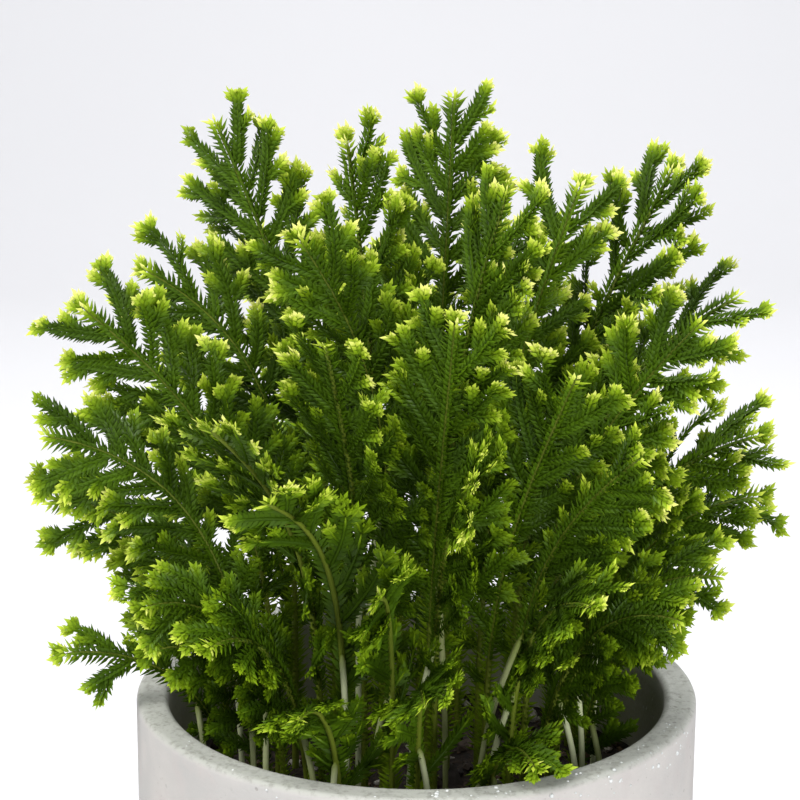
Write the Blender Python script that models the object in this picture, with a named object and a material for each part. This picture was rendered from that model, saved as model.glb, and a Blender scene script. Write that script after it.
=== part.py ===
"""A potted spikemoss: a straight concrete pot, its soil and a clump of leafy stems.

The origin is the middle of the pot's underside, +Z is up, and the front looks along -Y.
Every stem and its side branches lie in one sheet that arches outward and leans to the light.
A frond is laid out flat, then bent onto its arched sheet and given a raised rib.
"""
import math

import bmesh
import bpy
import numpy as np

MM = 0.001

# Pot and soil
POT_RADIUS = 65.0 * MM
POT_HEIGHT = 115.0 * MM
WALL = 7.5 * MM
POT_FLOOR = 10.0 * MM
RIM_EDGE = 1.6 * MM
FOOT_EDGE = 2.5 * MM
POT_SIDES = 40
SOIL_BELOW_RIM = 25.0 * MM
SOIL_BUMPS = 0.8 * MM
GAP = 0.3 * MM

# Stems
STEM_HALF_WIDTH = 1.1 * MM
STEM_THICKNESS = 1.9 * MM
STEM_DEPTH = 13.0 * MM
HOLE_RADIUS = 2.0 * MM
ROOT_SPREAD = 0.56
ROOT_DRAW_IN = 1.6
ROOT_LIMIT = 47.0 * MM
ROOT_SPACING = 6.0 * MM
LIGHT_FROM = (-0.35, -0.80, 0.50)
LIGHT_PULL = 0.8

# Fronds and branchlets
BRANCH_PITCH = 10.0 * MM
LOW_BRANCH_PITCH = 14.5 * MM
FROND_SHARE = 0.62
FROND_RANGE = (34.0 * MM, 76.0 * MM)
LEAF_HALF_WIDTH = 2.9 * MM
BRANCH_HALF_WIDTH = 1.5 * MM
RIB_THICKNESS = 1.5 * MM
TIP_THICKNESS = 1.0 * MM
BARE_FOOT = 12.0 * MM
STEM_TOOTH_PITCH = 18.0 * MM
BRANCH_TOOTH_PITCH = 15.2 * MM
TOOTH_LEAD = 1.4 * MM
NOTCH_LEAD = 1.7 * MM
CUP = 5.0
FORKED_FROM = 20.5 * MM
SHORTEST = 5.5 * MM
TILT = 0.22
SHEET_MARGIN = 14.0 * MM
TIP_OVERREACH = 1.5 * MM

# Stilt roots
STILT_RADIUS = 0.65 * MM
STILT_HOLE = 1.35 * MM
STILT_DEPTH = 7.0 * MM
STILT_COUNT = 20
STILT_APART = 4.4 * MM
STILT_DROP = 7.0 * MM
STILT_RISE = 0.22

# Room kept between stems
CELL = 0.7 * MM
ROOM = 2.1 * MM
ROOM_SPAN = 0.105
SEED = 20

UP = np.array((0.0, 0.0, 1.0))
RIM_TOP = POT_HEIGHT
SOIL_TOP = POT_HEIGHT - SOIL_BELOW_RIM
SOIL_RADIUS = POT_RADIUS - WALL - GAP

# Where each stem's tip stands, in millimetres from the axis and above the rim,
# and how steeply the tip rises, in degrees
LEFT_PLUMES = ((-77, -5, 93, 40), (-84, -14, 64, 10), (-86, 4, 43, -5), (-83, -14, 12, -8),
               (-62, -24, 15, -28))
TOP_LEFT = ((-48, 32, 128, 60), (-66, 22, 95, 20), (-28, -8, 110, 55), (-17, 24, 127, 75))
TOP_RIGHT = ((8, 36, 134, 80), (20, 6, 117, 72), (38, 22, 117, 65), (59, 20, 121, 62), (74, 12, 91, 25))
RIGHT_PLUMES = ((62, -20, 93, 48), (79, -8, 64, 15), (82, 8, 44, 0), (68, -26, 36, 0), (61, -10, 16, -14))
FRONT_HIGH = ((8, -34, 98, 76), (-20, -36, 92, 66), (34, -32, 84, 64), (48, -40, 68, 40),
              (-46, -38, 74, 40))
FRONT_LOW = ((12, -52, 66, 30), (-32, -50, 60, 24), (-46, -50, 26, -20), (-26, -62, 14, -22),
             (2, -66, 20, -16), (26, -62, 4, -30), (38, -58, 40, 4), (-8, -60, 42, 8),
             (58, -38, 30, -6), (-62, -34, 30, -14))
BACK = ((-40, 58, 96, 30), (-66, 50, 58, 8), (-10, 66, 92, 28), (26, 62, 98, 32), (58, 48, 76, 18),
        (-34, 74, 44, 0), (8, 80, 42, 0), (46, 70, 36, -6), (70, 42, 28, -8), (-68, 38, 24, -8))
TIPS = LEFT_PLUMES + TOP_LEFT + TOP_RIGHT + RIGHT_PLUMES + FRONT_HIGH + FRONT_LOW + BACK


def unit(vectors):
    """The same vectors with length one."""
    vectors = np.asarray(vectors, dtype=float)
    return vectors / np.linalg.norm(vectors, axis=-1, keepdims=True)


def smooth_step(values, low, high):
    """Zero below low, one above high, and an even rise between."""
    share = np.clip((values - low) / (high - low), 0.0, 1.0)
    return share * share * (3.0 - 2.0 * share)


# Arched sheets


class Sheet:
    """The arched sheet that one stem and its side branches lie in."""

    def __init__(self, root, tip, rise, roll):
        """A cubic curve from the soil to the tip, with a straight foot below and margin beyond."""
        start = np.array((root[0], root[1], SOIL_TOP + 2.0 * MM))
        out = np.array((tip[0] - root[0], tip[1] - root[1], 0.0))
        out = unit(out + 0.25 * np.array((tip[0], tip[1], 0.0)))
        end_way = out * math.cos(rise) + UP * math.sin(rise)
        span = np.linalg.norm(tip - start)
        first = start + UP * span * 0.5
        second = tip - end_way * span * 0.38
        t = np.linspace(0.0, 1.0, 90)[:, None]
        curve = ((1 - t) ** 3 * start + 3 * t * (1 - t) ** 2 * first
                 + 3 * t * t * (1 - t) * second + t ** 3 * tip)
        foot = start - UP * (STEM_DEPTH + 2.0 * MM)
        beyond = tip + end_way * SHEET_MARGIN
        self.line = np.vstack((foot, foot + UP * STEM_DEPTH, curve, beyond))
        steps = np.linalg.norm(np.diff(self.line, axis=0), axis=1)
        self.reach = np.concatenate(((0.0,), np.cumsum(steps)))
        self.length = self.reach[-2]
        ahead = unit(np.gradient(self.line, self.reach, axis=0))
        left = np.cross(UP, out)
        natural = np.cross(ahead, left) * math.cos(max(rise, 0.0)) ** 2
        face = unit(natural + LIGHT_PULL * unit(LIGHT_FROM))
        left = unit(np.cross(face, ahead))
        face = np.cross(ahead, left)
        turn = roll * smooth_step(self.reach, 0.2 * self.length, 0.6 * self.length)[:, None]
        self.left = left * np.cos(turn) + face * np.sin(turn)
        self.face = face * np.cos(turn) - left * np.sin(turn)

    def blend(self, rows, u):
        """Rows of the sheet's own points or directions, read at distances u along it."""
        return np.stack([np.interp(u, self.reach, rows[:, axis]) for axis in range(3)], axis=-1)

    def at(self, places, lift=0.0):
        """Points from places along, across and off the sheet, which droops to its sides."""
        u, v, w = np.moveaxis(np.asarray(places), -1, 0)
        face = unit(self.blend(self.face, u))
        left = unit(self.blend(self.left, u))
        off = w + lift - CUP * v * v
        return self.blend(self.line, u) + left * v[..., None] + face * off[..., None]


# Flat layout of a frond


class Limb:
    """One stem or branch in the layout: a gently bent line with kids on its sides."""

    def __init__(self, start, angle, length, bend, tilt, kind):
        self.start = np.array(start)
        self.angle = angle
        self.length = length
        self.bend = bend
        self.tilt = tilt
        self.kind = kind
        self.kids = []
        self.full = length

    def way(self, s):
        """Direction angle at distance s."""
        return self.angle + self.bend * np.asarray(s) / self.full

    def at(self, s, side=0.0):
        """Point at distance s, moved sideways to the left by side: along, across and off the sheet."""
        s, side = np.broadcast_arrays(np.asarray(s, dtype=float), side)
        middle = self.angle + self.bend * s / self.full / 2.0
        way = self.way(s)
        u = self.start[0] + s * np.cos(middle) - side * np.sin(way)
        v = self.start[1] + s * np.sin(middle) + side * np.cos(way)
        w = self.start[2] + s * self.tilt
        return np.stack((u, v, w), axis=-1)

    def add(self, s, side, angle, length, bend, tilt, kind):
        """Grows a kid at distance s on the left (+1) or right (-1)."""
        kid = Limb(self.at(s), self.way(s) + side * angle, length, -side * bend, tilt, kind)
        self.kids.append((s, side, kid))
        return kid


def lay_out(length, frond, rng):
    """A stem with its frond: side branches on both sides, cut off level with the stem's tip."""
    stem = Limb((0.0, 0.0, 0.0), 0.0, length, 0.0, 0.0, "stem")
    side = 1 if rng.random() < 0.5 else -1
    done = {side: 0.0, -side: 5.5 * MM}
    while min(done.values()) < frond - 8.0 * MM:
        side = min(done, key=done.get)
        share = done[side] / frond
        reach = frond * (0.26 + 0.12 * (1.0 - share)) * rng.uniform(0.88, 1.12)
        angle = math.radians(50.0 - 15.0 * share) + rng.normal(0.0, 0.03)
        place = length - frond + done[side]
        reach = min(reach, (length + TIP_OVERREACH - place) / math.cos(angle))
        tilt = rng.normal(0.0, TILT) * (1.0 - share)
        limb = stem.add(place, side, angle, reach, math.radians(16.0), tilt, "branch")
        done[side] += LOW_BRANCH_PITCH + (BRANCH_PITCH - LOW_BRANCH_PITCH) * share
        if reach > FORKED_FROM:
            limb.add(0.40 * reach, side, math.radians(42.0), 0.36 * reach,
                     math.radians(12.0), tilt, "branch")
            done[side] += 1.5 * MM
    return stem


# Room between stems


class Room:
    """A grid of small cells that says which stem already fills the space."""

    def __init__(self):
        cells = int(2 * ROOM_SPAN / CELL)
        self.owner = np.zeros((cells, cells, cells + 80), dtype=np.int16)
        reach = int(ROOM / CELL)
        steps = np.arange(-reach, reach + 1)
        ball = np.stack(np.meshgrid(steps, steps, steps, indexing="ij"), axis=-1).reshape(-1, 3)
        self.ball = ball[np.linalg.norm(ball * CELL, axis=1) <= ROOM]

    def cells(self, points):
        """Grid cells that hold the points."""
        corner = np.array((-ROOM_SPAN, -ROOM_SPAN, SOIL_TOP - 20.0 * MM))
        index = np.floor((points - corner) / CELL).astype(int)
        return np.clip(index, 0, np.array(self.owner.shape) - 1)

    def fill(self, points, name):
        """Gives the free cells near the points to one stem."""
        near = (self.cells(points)[:, None, :] + self.ball[None]).reshape(-1, 3)
        near = np.clip(near, 0, np.array(self.owner.shape) - 1)
        x, y, z = near.T
        free = self.owner[x, y, z] == 0
        self.owner[x[free], y[free], z[free]] = name

    def clashes(self, points, name):
        """True for the points that meet another stem, the pot or the soil."""
        x, y, z = self.cells(points).T
        owner = self.owner[x, y, z]
        across = np.hypot(points[:, 0], points[:, 1])
        in_wall = (across > SOIL_RADIUS - 1.8 * MM) & (across < POT_RADIUS + 1.8 * MM)
        in_pot = in_wall & (points[:, 2] < RIM_TOP + 2.2 * MM)
        in_soil = (across < POT_RADIUS) & (points[:, 2] < SOIL_TOP + 4.0 * MM)
        return ((owner != 0) & (owner != name)) | in_pot | in_soil


def limb_points(sheet, limb, start=0.0):
    """Sample points over a limb's leafy width, as a grid of distance by width."""
    s = np.arange(start + 1.5 * MM, limb.length + 0.8 * MM, 1.5 * MM)
    across = np.linspace(-LEAF_HALF_WIDTH, LEAF_HALF_WIDTH, 5)
    return sheet.at(limb.at(s[:, None], across[None, :]))


def free_length(sheet, limb, room, name):
    """How far the limb runs before it meets something, beyond its sunken start."""
    points = limb_points(sheet, limb)
    hit = room.clashes(points.reshape(-1, 3), name).reshape(points.shape[:2]).any(axis=1)
    if not hit.any():
        return limb.length
    return 1.5 * MM * max(int(np.argmax(hit)), 0)


def prune(sheet, limb, room, name):
    """Shortens the limb's kids to the room that they have, and drops those with too little."""
    kept = []
    for s, side, kid in limb.kids:
        free = free_length(sheet, kid, room, name)
        kid.length = min(kid.length, free)
        if s > limb.length - 3.0 * MM or kid.length < SHORTEST:
            continue
        prune(sheet, kid, room, name)
        kept.append((s, side, kid))
    limb.kids = kept


def every_limb(limb):
    """The limb and all that grows from it."""
    yield limb
    for _, _, kid in limb.kids:
        yield from every_limb(kid)


# The whole clump


def draw_root(tip, spread, rng):
    """A root point drawn in from the tip, further for a tall stem than for a low one."""
    share = ROOT_SPREAD - ROOT_DRAW_IN * (tip[2] - RIM_TOP)
    root = tip[:2] * share + rng.normal(0.0, spread, 2)
    return root * min(1.0, ROOT_LIMIT / np.linalg.norm(root))


def place_stem(name, tip, rise, roots, room, rng):
    """A root and its plain sheet, redrawn until the stem runs clear of those before it."""
    spread = 1.5 * MM
    for _ in range(300):
        root = draw_root(tip, spread, rng)
        spread *= 1.02
        if any(np.linalg.norm(root - other) < ROOT_SPACING for other in roots):
            continue
        sheet = Sheet(root, tip, rise, 0.0)
        bare = Limb((0.0, 0.0, 0.0), 0.0, sheet.length, 0.0, 0.0, "stem")
        points = limb_points(sheet, bare, STEM_DEPTH + 3.0 * MM).reshape(-1, 3)
        if not room.clashes(points, name).any():
            break
    room.fill(points, name)
    return root


def grow_frond(name, root, tip, rise, room):
    """The stem's sheet and layout at the turn that gives its branches the most room and light."""
    best = None
    for roll in (0, 15, -15, 30, -30, 45, -45):
        sheet = Sheet(root, tip, rise, math.radians(roll))
        frond = float(np.clip(FROND_SHARE * sheet.length, *FROND_RANGE))
        stem = lay_out(sheet.length, frond, np.random.default_rng(SEED + name))
        prune(sheet, stem, room, name)
        lit = abs(np.dot(sheet.face[-20:].mean(axis=0), unit(LIGHT_FROM)))
        score = sum(limb.length for limb in every_limb(stem)) * (0.5 + lit)
        if best is None or score > best[0]:
            best = (score, sheet, stem, frond)
    _, sheet, stem, frond = best
    for limb in every_limb(stem):
        start = STEM_DEPTH if limb is stem else 0.0
        room.fill(limb_points(sheet, limb, start).reshape(-1, 3), name)
    return sheet, stem, frond


def stilt_path(sheet, stem, frond, foot, free_end):
    """A stilt root's line: out of a fork, in a slack curve, then straight down."""
    top = sheet.at(stem.at(stem.length - frond * (1.0 - STILT_RISE)))
    over = np.array((foot[0], foot[1], SOIL_TOP + (free_end or 5.0 * MM)))
    bend = np.array((foot[0], foot[1], top[2] * 0.45 + over[2] * 0.55))
    t = np.array((0.0, 0.5, 1.0))[:, None]
    path = (1 - t) ** 2 * top + 2 * t * (1 - t) * bend + t * t * over
    if free_end:
        return path
    return np.vstack((path, (foot[0], foot[1], SOIL_TOP - STILT_DEPTH)))


def grow_stilts(stems, feet, room, rng):
    """Stilt roots in front of their stems, the front stems first, each clear of other stems."""
    stilts = {name: [] for name in range(1, len(stems) + 1)}
    count = 0
    order = sorted(stilts, key=lambda name: feet[name - 1][1])
    for name in order + order[: len(order) // 3]:
        sheet, stem, frond = stems[name - 1]
        for _ in range(12):
            turn = rng.uniform(-0.9, -0.1) * math.pi
            away = rng.uniform(4.5, 10.0) * MM
            foot = sheet.line[0][:2] + away * np.array((math.cos(turn), math.sin(turn)))
            apart = min(np.linalg.norm(foot - other) for other in feet)
            free_end = rng.uniform(10.0, 22.0) * MM if rng.random() < 0.2 else 0.0
            path = stilt_path(sheet, stem, frond, foot, free_end)
            t = np.linspace(0.0, 1.0, 60)
            rows = np.linspace(0.0, 1.0, len(path))
            line = np.stack([np.interp(t, rows, path[:, axis]) for axis in range(3)], axis=1)
            line = line[line[:, 2] > SOIL_TOP + 4.5 * MM]
            drop = path[0][2] - path[2][2]
            if apart > STILT_APART and drop > STILT_DROP and not room.clashes(line, name).any():
                room.fill(line, name)
                stilts[name].append(path)
                feet.append(foot)
                count += 1
                break
        if count == STILT_COUNT:
            break
    return stilts


def grow_clump():
    """Every stem as a sheet, a layout and its stilt roots, clear of the stems before it."""
    rng = np.random.default_rng(SEED)
    room = Room()
    tips = [np.array((x * MM, y * MM, RIM_TOP + z * MM)) for x, y, z, _ in TIPS]
    rises = [math.radians(rise) for _, _, _, rise in TIPS]
    roots = []
    for name, (tip, rise) in enumerate(zip(tips, rises), start=1):
        roots.append(place_stem(name, tip, rise, roots, room, rng))
    stems = []
    for name, (root, tip, rise) in enumerate(zip(roots, tips, rises), start=1):
        stems.append(grow_frond(name, root, tip, rise, room))
    stilts = grow_stilts(stems, list(roots), room, rng)
    return stems, stilts


# Solids from the flat layout


class Blade:
    """A closed solid with a raised rib, built by a walk around the layout's edge."""

    def __init__(self, sheet, stem, frond):
        self.sheet = sheet
        self.ribs = []
        self.thickness = []
        self.edge = []
        self.steps = []
        self.walk_stem(stem, frond)

    def rib(self, flat, thickness):
        """A point on the middle rib."""
        self.ribs.append(flat)
        self.thickness.append(thickness)
        return len(self.ribs) - 1

    def visit(self, rib, *edge_points):
        """The walk passes a rib point and the edge points that it holds."""
        first = len(self.edge)
        self.edge.extend(edge_points)
        self.steps.append((rib, list(range(first, len(self.edge)))))

    def walk_stem(self, stem, frond):
        """From the foot up the left edge, round the tip and down the right edge."""
        foot = self.rib(stem.at(0.0), STEM_THICKNESS)
        self.visit(foot, stem.at(0.0, STEM_HALF_WIDTH))
        bare = [STEM_DEPTH + BARE_FOOT]
        low = bare[0] + 0.5 * STEM_TOOTH_PITCH
        high = stem.length - frond - 5.0 * MM
        count = max(int((high - low) / STEM_TOOTH_PITCH) + 1, 0)
        leafy = [low + STEM_TOOTH_PITCH * i for i in range(count)]
        self.walk(stem, bare, leafy)
        self.visit(foot, stem.at(0.0, -STEM_HALF_WIDTH))

    def walk(self, limb, bare, leafy):
        """One limb: out along its left edge, round its tip, back along its right edge."""
        kids = {s: (side, kid) for s, side, kid in limb.kids}
        marks = sorted(set(bare) | set(leafy) | set(kids))
        ribs = {}
        for s in marks:
            sturdy = limb.kind == "stem" and s < 0.6 * limb.length
            ribs[s] = self.rib(limb.at(s), STEM_THICKNESS if sturdy else RIB_THICKNESS)
        for s in marks:
            self.pass_mark(limb, s, ribs[s], 1, kids.get(s), s in leafy, s in bare)
        self.round_tip(limb)
        for s in reversed(marks):
            self.pass_mark(limb, s, ribs[s], -1, kids.get(s), s in leafy, s in bare)

    def pass_mark(self, limb, s, rib, side, kid, leafy, bare):
        """What the edge does beside one rib point: a kid, a tooth, a plain point or nothing."""
        if kid and kid[0] == side:
            below, above = self.crotch(limb, s, kid[1], side)
            first, last = (below, above) if side > 0 else (above, below)
            self.visit(rib, first)
            self.walk(kid[1], [], self.tooth_marks(kid[1]))
            self.visit(rib, last)
        elif leafy or (kid and limb.kind == "branch"):
            tooth, notch = self.tooth(limb, s, side)
            first, last = (tooth, notch) if side > 0 else (notch, tooth)
            self.visit(rib, first, last)
        elif bare:
            self.visit(rib, limb.at(s, side * STEM_HALF_WIDTH))
        else:
            self.visit(rib)

    def tooth_marks(self, limb):
        """Where a branch has a pair of teeth: evenly spaced, clear of its kids and its tip."""
        count = int(limb.length / BRANCH_TOOTH_PITCH)
        marks = [limb.length * (i + 1) / (count + 1) for i in range(count)]
        return [s for s in marks if all(abs(s - at) > 3.0 * MM for at, _, _ in limb.kids)]

    def tooth(self, limb, s, side):
        """A leafy tooth that points forward, and the notch after it."""
        ahead = limb.at(s + TOOTH_LEAD, side * LEAF_HALF_WIDTH)
        return ahead, limb.at(s + NOTCH_LEAD, side * BRANCH_HALF_WIDTH * 0.9)

    def crotch(self, limb, s, kid, side):
        """The edge points below and above a kid, where its edges meet the limb's."""
        turn = abs(float(kid.angle - limb.way(s)))
        wide = STEM_HALF_WIDTH if limb.kind == "stem" else BRANCH_HALF_WIDTH
        slant = BRANCH_HALF_WIDTH / math.sin(turn)
        shift = wide / math.tan(turn)
        below = limb.at(s - slant + shift, side * wide)
        above = limb.at(s + slant + shift, side * wide)
        return below, above

    def round_tip(self, limb):
        """A blunt forked tip of two lobes."""
        end = limb.length
        wide = LEAF_HALF_WIDTH * 0.9
        rib = self.rib(limb.at(end - 2.6 * MM), TIP_THICKNESS)
        left, right = limb.at(end - 0.6 * MM, wide), limb.at(end - 0.6 * MM, -wide)
        self.visit(rib, left, limb.at(end - 1.0 * MM), right)

    def faces(self):
        """Triangles of the upper and the lower side, split alike, which share the edge points."""
        count = len(self.ribs)
        upper = []
        rib, held = self.steps[0]
        last = held[-1]
        for other, held in self.steps[1:]:
            if other != rib:
                upper.append((rib, other, 2 * count + last))
            for point in held:
                upper.append((other, 2 * count + point, 2 * count + last))
                last = point
            rib = other
        upper.append((rib, 2 * count, 2 * count + last))
        lower = [tuple(i + count if i < count else i for i in (a, c, b)) for a, b, c in upper]
        return upper + lower

    def points(self):
        """The upper ribs, the lower ribs and the edge, on the arched sheet."""
        ribs = np.array(self.ribs)
        lift = np.array(self.thickness) / 2.0
        edge = np.array(self.edge)
        return np.vstack((self.sheet.at(ribs, lift), self.sheet.at(ribs, -lift), self.sheet.at(edge)))


def mesh_object(name, points, faces):
    """A new object from points and faces."""
    mesh = bpy.data.meshes.new(name)
    mesh.from_pydata([tuple(point) for point in points], [], faces)
    obj = bpy.data.objects.new(name, mesh)
    bpy.context.collection.objects.link(obj)
    return obj


def tube(name, path, radius, sides):
    """A closed tube with flat ends along a path that runs mostly up or down."""
    path = np.asarray(path)
    angles = 2 * math.pi * np.arange(sides) / sides
    ring = np.stack((np.cos(angles), np.sin(angles), 0 * angles), axis=1) * radius
    points = (path[:, None, :] + ring[None]).reshape(-1, 3)
    faces = [tuple(range(sides - 1, -1, -1))]
    for row in range(len(path) - 1):
        for i in range(sides):
            j = (i + 1) % sides
            low, high = row * sides, (row + 1) * sides
            faces.append((low + i, low + j, high + j, high + i))
    faces.append(tuple(range((len(path) - 1) * sides, len(path) * sides)))
    return mesh_object(name, points, faces)


def set_material(obj, name, color, roughness):
    """A plain Principled material."""
    material = bpy.data.materials.get(name) or bpy.data.materials.new(name)
    material.use_nodes = True
    shader = material.node_tree.nodes["Principled BSDF"]
    shader.inputs["Base Color"].default_value = (*color, 1.0)
    shader.inputs["Roughness"].default_value = roughness
    shader.inputs["Metallic"].default_value = 0.0
    obj.data.materials.clear()
    obj.data.materials.append(material)


def boolean(obj, others, operation):
    """Joins others to obj, or cuts them from it, and removes them."""
    group = bpy.data.collections.new("operands")
    bpy.context.scene.collection.children.link(group)
    for other in others:
        group.objects.link(other)
    modifier = obj.modifiers.new("boolean", "BOOLEAN")
    modifier.operation = operation
    modifier.operand_type = "COLLECTION"
    modifier.collection = group
    modifier.solver = "MANIFOLD"
    view = bpy.context.evaluated_depsgraph_get()
    mesh = bpy.data.meshes.new_from_object(obj.evaluated_get(view))
    obj.modifiers.remove(modifier)
    obj.data = mesh
    for other in others:
        bpy.data.objects.remove(other)
    bpy.data.collections.remove(group)


# Pot and soil


def quarter(center_r, center_z, radius, start):
    """Three points of a quarter circle in the profile."""
    angles = [math.radians(start + step) for step in (0.0, 45.0, 90.0)]
    return [(center_r + radius * math.cos(a), center_z + radius * math.sin(a)) for a in angles]


def turn_profile(name, profile, sides):
    """A closed solid turned about +Z from a profile that starts and ends on the axis."""
    mesh = bmesh.new()
    rings = []
    for r, z in profile:
        if r == 0.0:
            rings.append([mesh.verts.new((0.0, 0.0, z))])
            continue
        angles = [2 * math.pi * i / sides for i in range(sides)]
        rings.append([mesh.verts.new((r * math.cos(a), r * math.sin(a), z)) for a in angles])
    for low, high in zip(rings, rings[1:]):
        for i in range(sides):
            j = (i + 1) % sides
            corners = [low[i % len(low)], low[j % len(low)], high[j % len(high)], high[i % len(high)]]
            mesh.faces.new(list(dict.fromkeys(corners)))
    bmesh.ops.recalc_face_normals(mesh, faces=mesh.faces)
    data = bpy.data.meshes.new(name)
    mesh.to_mesh(data)
    mesh.free()
    obj = bpy.data.objects.new(name, data)
    bpy.context.collection.objects.link(obj)
    return obj


def make_pot():
    """A straight cast pot with softened edges, closed below."""
    inner = POT_RADIUS - WALL
    profile = [(0.0, 0.0), (POT_RADIUS - FOOT_EDGE, 0.0), (POT_RADIUS, FOOT_EDGE)]
    profile += quarter(POT_RADIUS - RIM_EDGE, POT_HEIGHT - RIM_EDGE, RIM_EDGE, 0.0)
    profile += quarter(inner + RIM_EDGE, POT_HEIGHT - RIM_EDGE, RIM_EDGE, 90.0)
    profile += [(inner, POT_FLOOR), (0.0, POT_FLOOR)]
    pot = turn_profile("pot", profile, POT_SIDES)
    set_material(pot, "pot", (0.55, 0.53, 0.50), 0.85)


def soil_height(x, y):
    """The uneven top of the soil: broad waves, 30 to 37 mm long, crossed by finer ones."""
    broad = math.sin(x * 210.0 + 1.0) * math.cos(y * 170.0)
    fine = math.sin(x * 330.0 - y * 290.0)
    return SOIL_TOP + SOIL_BUMPS * (broad + 0.6 * fine)


def make_soil(holes):
    """A filled disc with an uneven top and a plain hole for each stem and stilt root."""
    mesh = bmesh.new()
    rings = ((10, 0.34), (20, 0.68), (POT_SIDES, 1.0))
    top = [[mesh.verts.new((0.0, 0.0, soil_height(0.0, 0.0)))]]
    for count, share in rings:
        ring = []
        for i in range(count):
            a = 2 * math.pi * i / count
            x, y = SOIL_RADIUS * share * math.cos(a), SOIL_RADIUS * share * math.sin(a)
            ring.append(mesh.verts.new((x, y, soil_height(x, y))))
        top.append(ring)
    for inner, outer in zip(top, top[1:]):
        bridge_rings(mesh, inner, outer)
    floor = [mesh.verts.new((v.co.x, v.co.y, POT_FLOOR + GAP)) for v in top[-1]]
    for i in range(len(floor)):
        j = (i + 1) % len(floor)
        mesh.faces.new((top[-1][i], floor[i], floor[j], top[-1][j]))
    mesh.faces.new(floor[::-1])
    bmesh.ops.recalc_face_normals(mesh, faces=mesh.faces)
    data = bpy.data.meshes.new("soil")
    mesh.to_mesh(data)
    mesh.free()
    soil = bpy.data.objects.new("soil", data)
    bpy.context.collection.objects.link(soil)
    cutters = []
    for x, y, radius, depth in holes:
        path = [(x, y, SOIL_TOP - depth), (x, y, SOIL_TOP + 10.0 * MM)]
        cutters.append(tube("hole", path, radius, 5))
    boolean(soil, cutters, "DIFFERENCE")
    set_material(soil, "soil", (0.035, 0.025, 0.018), 0.95)


def bridge_rings(mesh, inner, outer):
    """Triangles between two rings with different numbers of points."""
    i = j = 0
    while i < len(inner) or j < len(outer):
        a, b = inner[i % len(inner)], outer[j % len(outer)]
        if j * max(len(inner), 1) <= i * len(outer) and j < len(outer) or len(inner) == 1:
            mesh.faces.new((a, b, outer[(j + 1) % len(outer)]))
            j += 1
            if len(inner) == 1 and j == len(outer):
                break
        else:
            mesh.faces.new((a, b, inner[(i + 1) % len(inner)]))
            i += 1


# Stems


def make_stem(name, sheet, stem, frond, stilts):
    """One leafy stem and its stilt roots as a single solid."""
    blade = Blade(sheet, stem, frond)
    obj = mesh_object(name, blade.points(), blade.faces())
    if stilts:
        tubes = [tube("stilt", path[::-1], STILT_RADIUS, 4) for path in stilts]
        boolean(obj, tubes, "UNION")
    set_material(obj, "leafy_stem", (0.10, 0.26, 0.045), 0.55)


def clear_scene():
    """Removes what the start-up file holds."""
    for obj in list(bpy.data.objects):
        bpy.data.objects.remove(obj)


def main():
    """Builds the pot, the soil and the stems."""
    clear_scene()
    stems, stilts = grow_clump()
    holes = []
    for number, (sheet, stem, frond) in enumerate(stems, start=1):
        make_stem(f"leafy_stem_{number:02d}", sheet, stem, frond, stilts[number])
        x, y, _ = sheet.line[0]
        holes.append((x, y, HOLE_RADIUS, STEM_DEPTH + GAP))
        for path in stilts[number]:
            x, y, z = path[-1]
            if z < SOIL_TOP:
                holes.append((x, y, STILT_HOLE, STILT_DEPTH + GAP))
    make_pot()
    make_soil(holes)


main()
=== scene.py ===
# %% [markdown]
# A potted spikemoss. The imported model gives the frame: a concrete pot, its soil and a clump of
# leafy stems, each a plain toothed blade. This script keeps their places and forms and gives
# them their real surface: a hundred thousand scale leaves, rough soil and pitted concrete.
# Lengths are metres, and MM turns millimetres into them.

import math

import bpy
import numpy as np
from mathutils import Matrix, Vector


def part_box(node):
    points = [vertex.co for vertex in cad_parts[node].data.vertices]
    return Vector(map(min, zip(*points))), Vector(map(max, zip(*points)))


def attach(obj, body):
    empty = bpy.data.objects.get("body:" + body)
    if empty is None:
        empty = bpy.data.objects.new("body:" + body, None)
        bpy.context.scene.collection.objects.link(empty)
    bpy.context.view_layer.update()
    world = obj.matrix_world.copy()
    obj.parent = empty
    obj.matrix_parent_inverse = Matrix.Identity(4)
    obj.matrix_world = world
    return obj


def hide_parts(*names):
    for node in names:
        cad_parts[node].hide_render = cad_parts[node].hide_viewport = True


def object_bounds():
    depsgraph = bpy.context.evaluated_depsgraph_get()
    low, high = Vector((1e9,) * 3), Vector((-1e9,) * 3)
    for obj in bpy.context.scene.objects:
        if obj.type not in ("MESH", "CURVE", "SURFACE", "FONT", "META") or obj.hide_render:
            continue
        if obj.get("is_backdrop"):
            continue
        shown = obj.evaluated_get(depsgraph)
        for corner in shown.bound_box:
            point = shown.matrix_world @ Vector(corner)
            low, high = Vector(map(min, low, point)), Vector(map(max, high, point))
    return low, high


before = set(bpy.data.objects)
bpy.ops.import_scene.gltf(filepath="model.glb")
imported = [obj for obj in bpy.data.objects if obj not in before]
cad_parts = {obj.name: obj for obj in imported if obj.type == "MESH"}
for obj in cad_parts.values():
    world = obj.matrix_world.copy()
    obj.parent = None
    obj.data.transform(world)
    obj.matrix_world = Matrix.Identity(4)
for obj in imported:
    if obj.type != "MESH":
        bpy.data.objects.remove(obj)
cad_low, cad_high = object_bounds()

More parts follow.
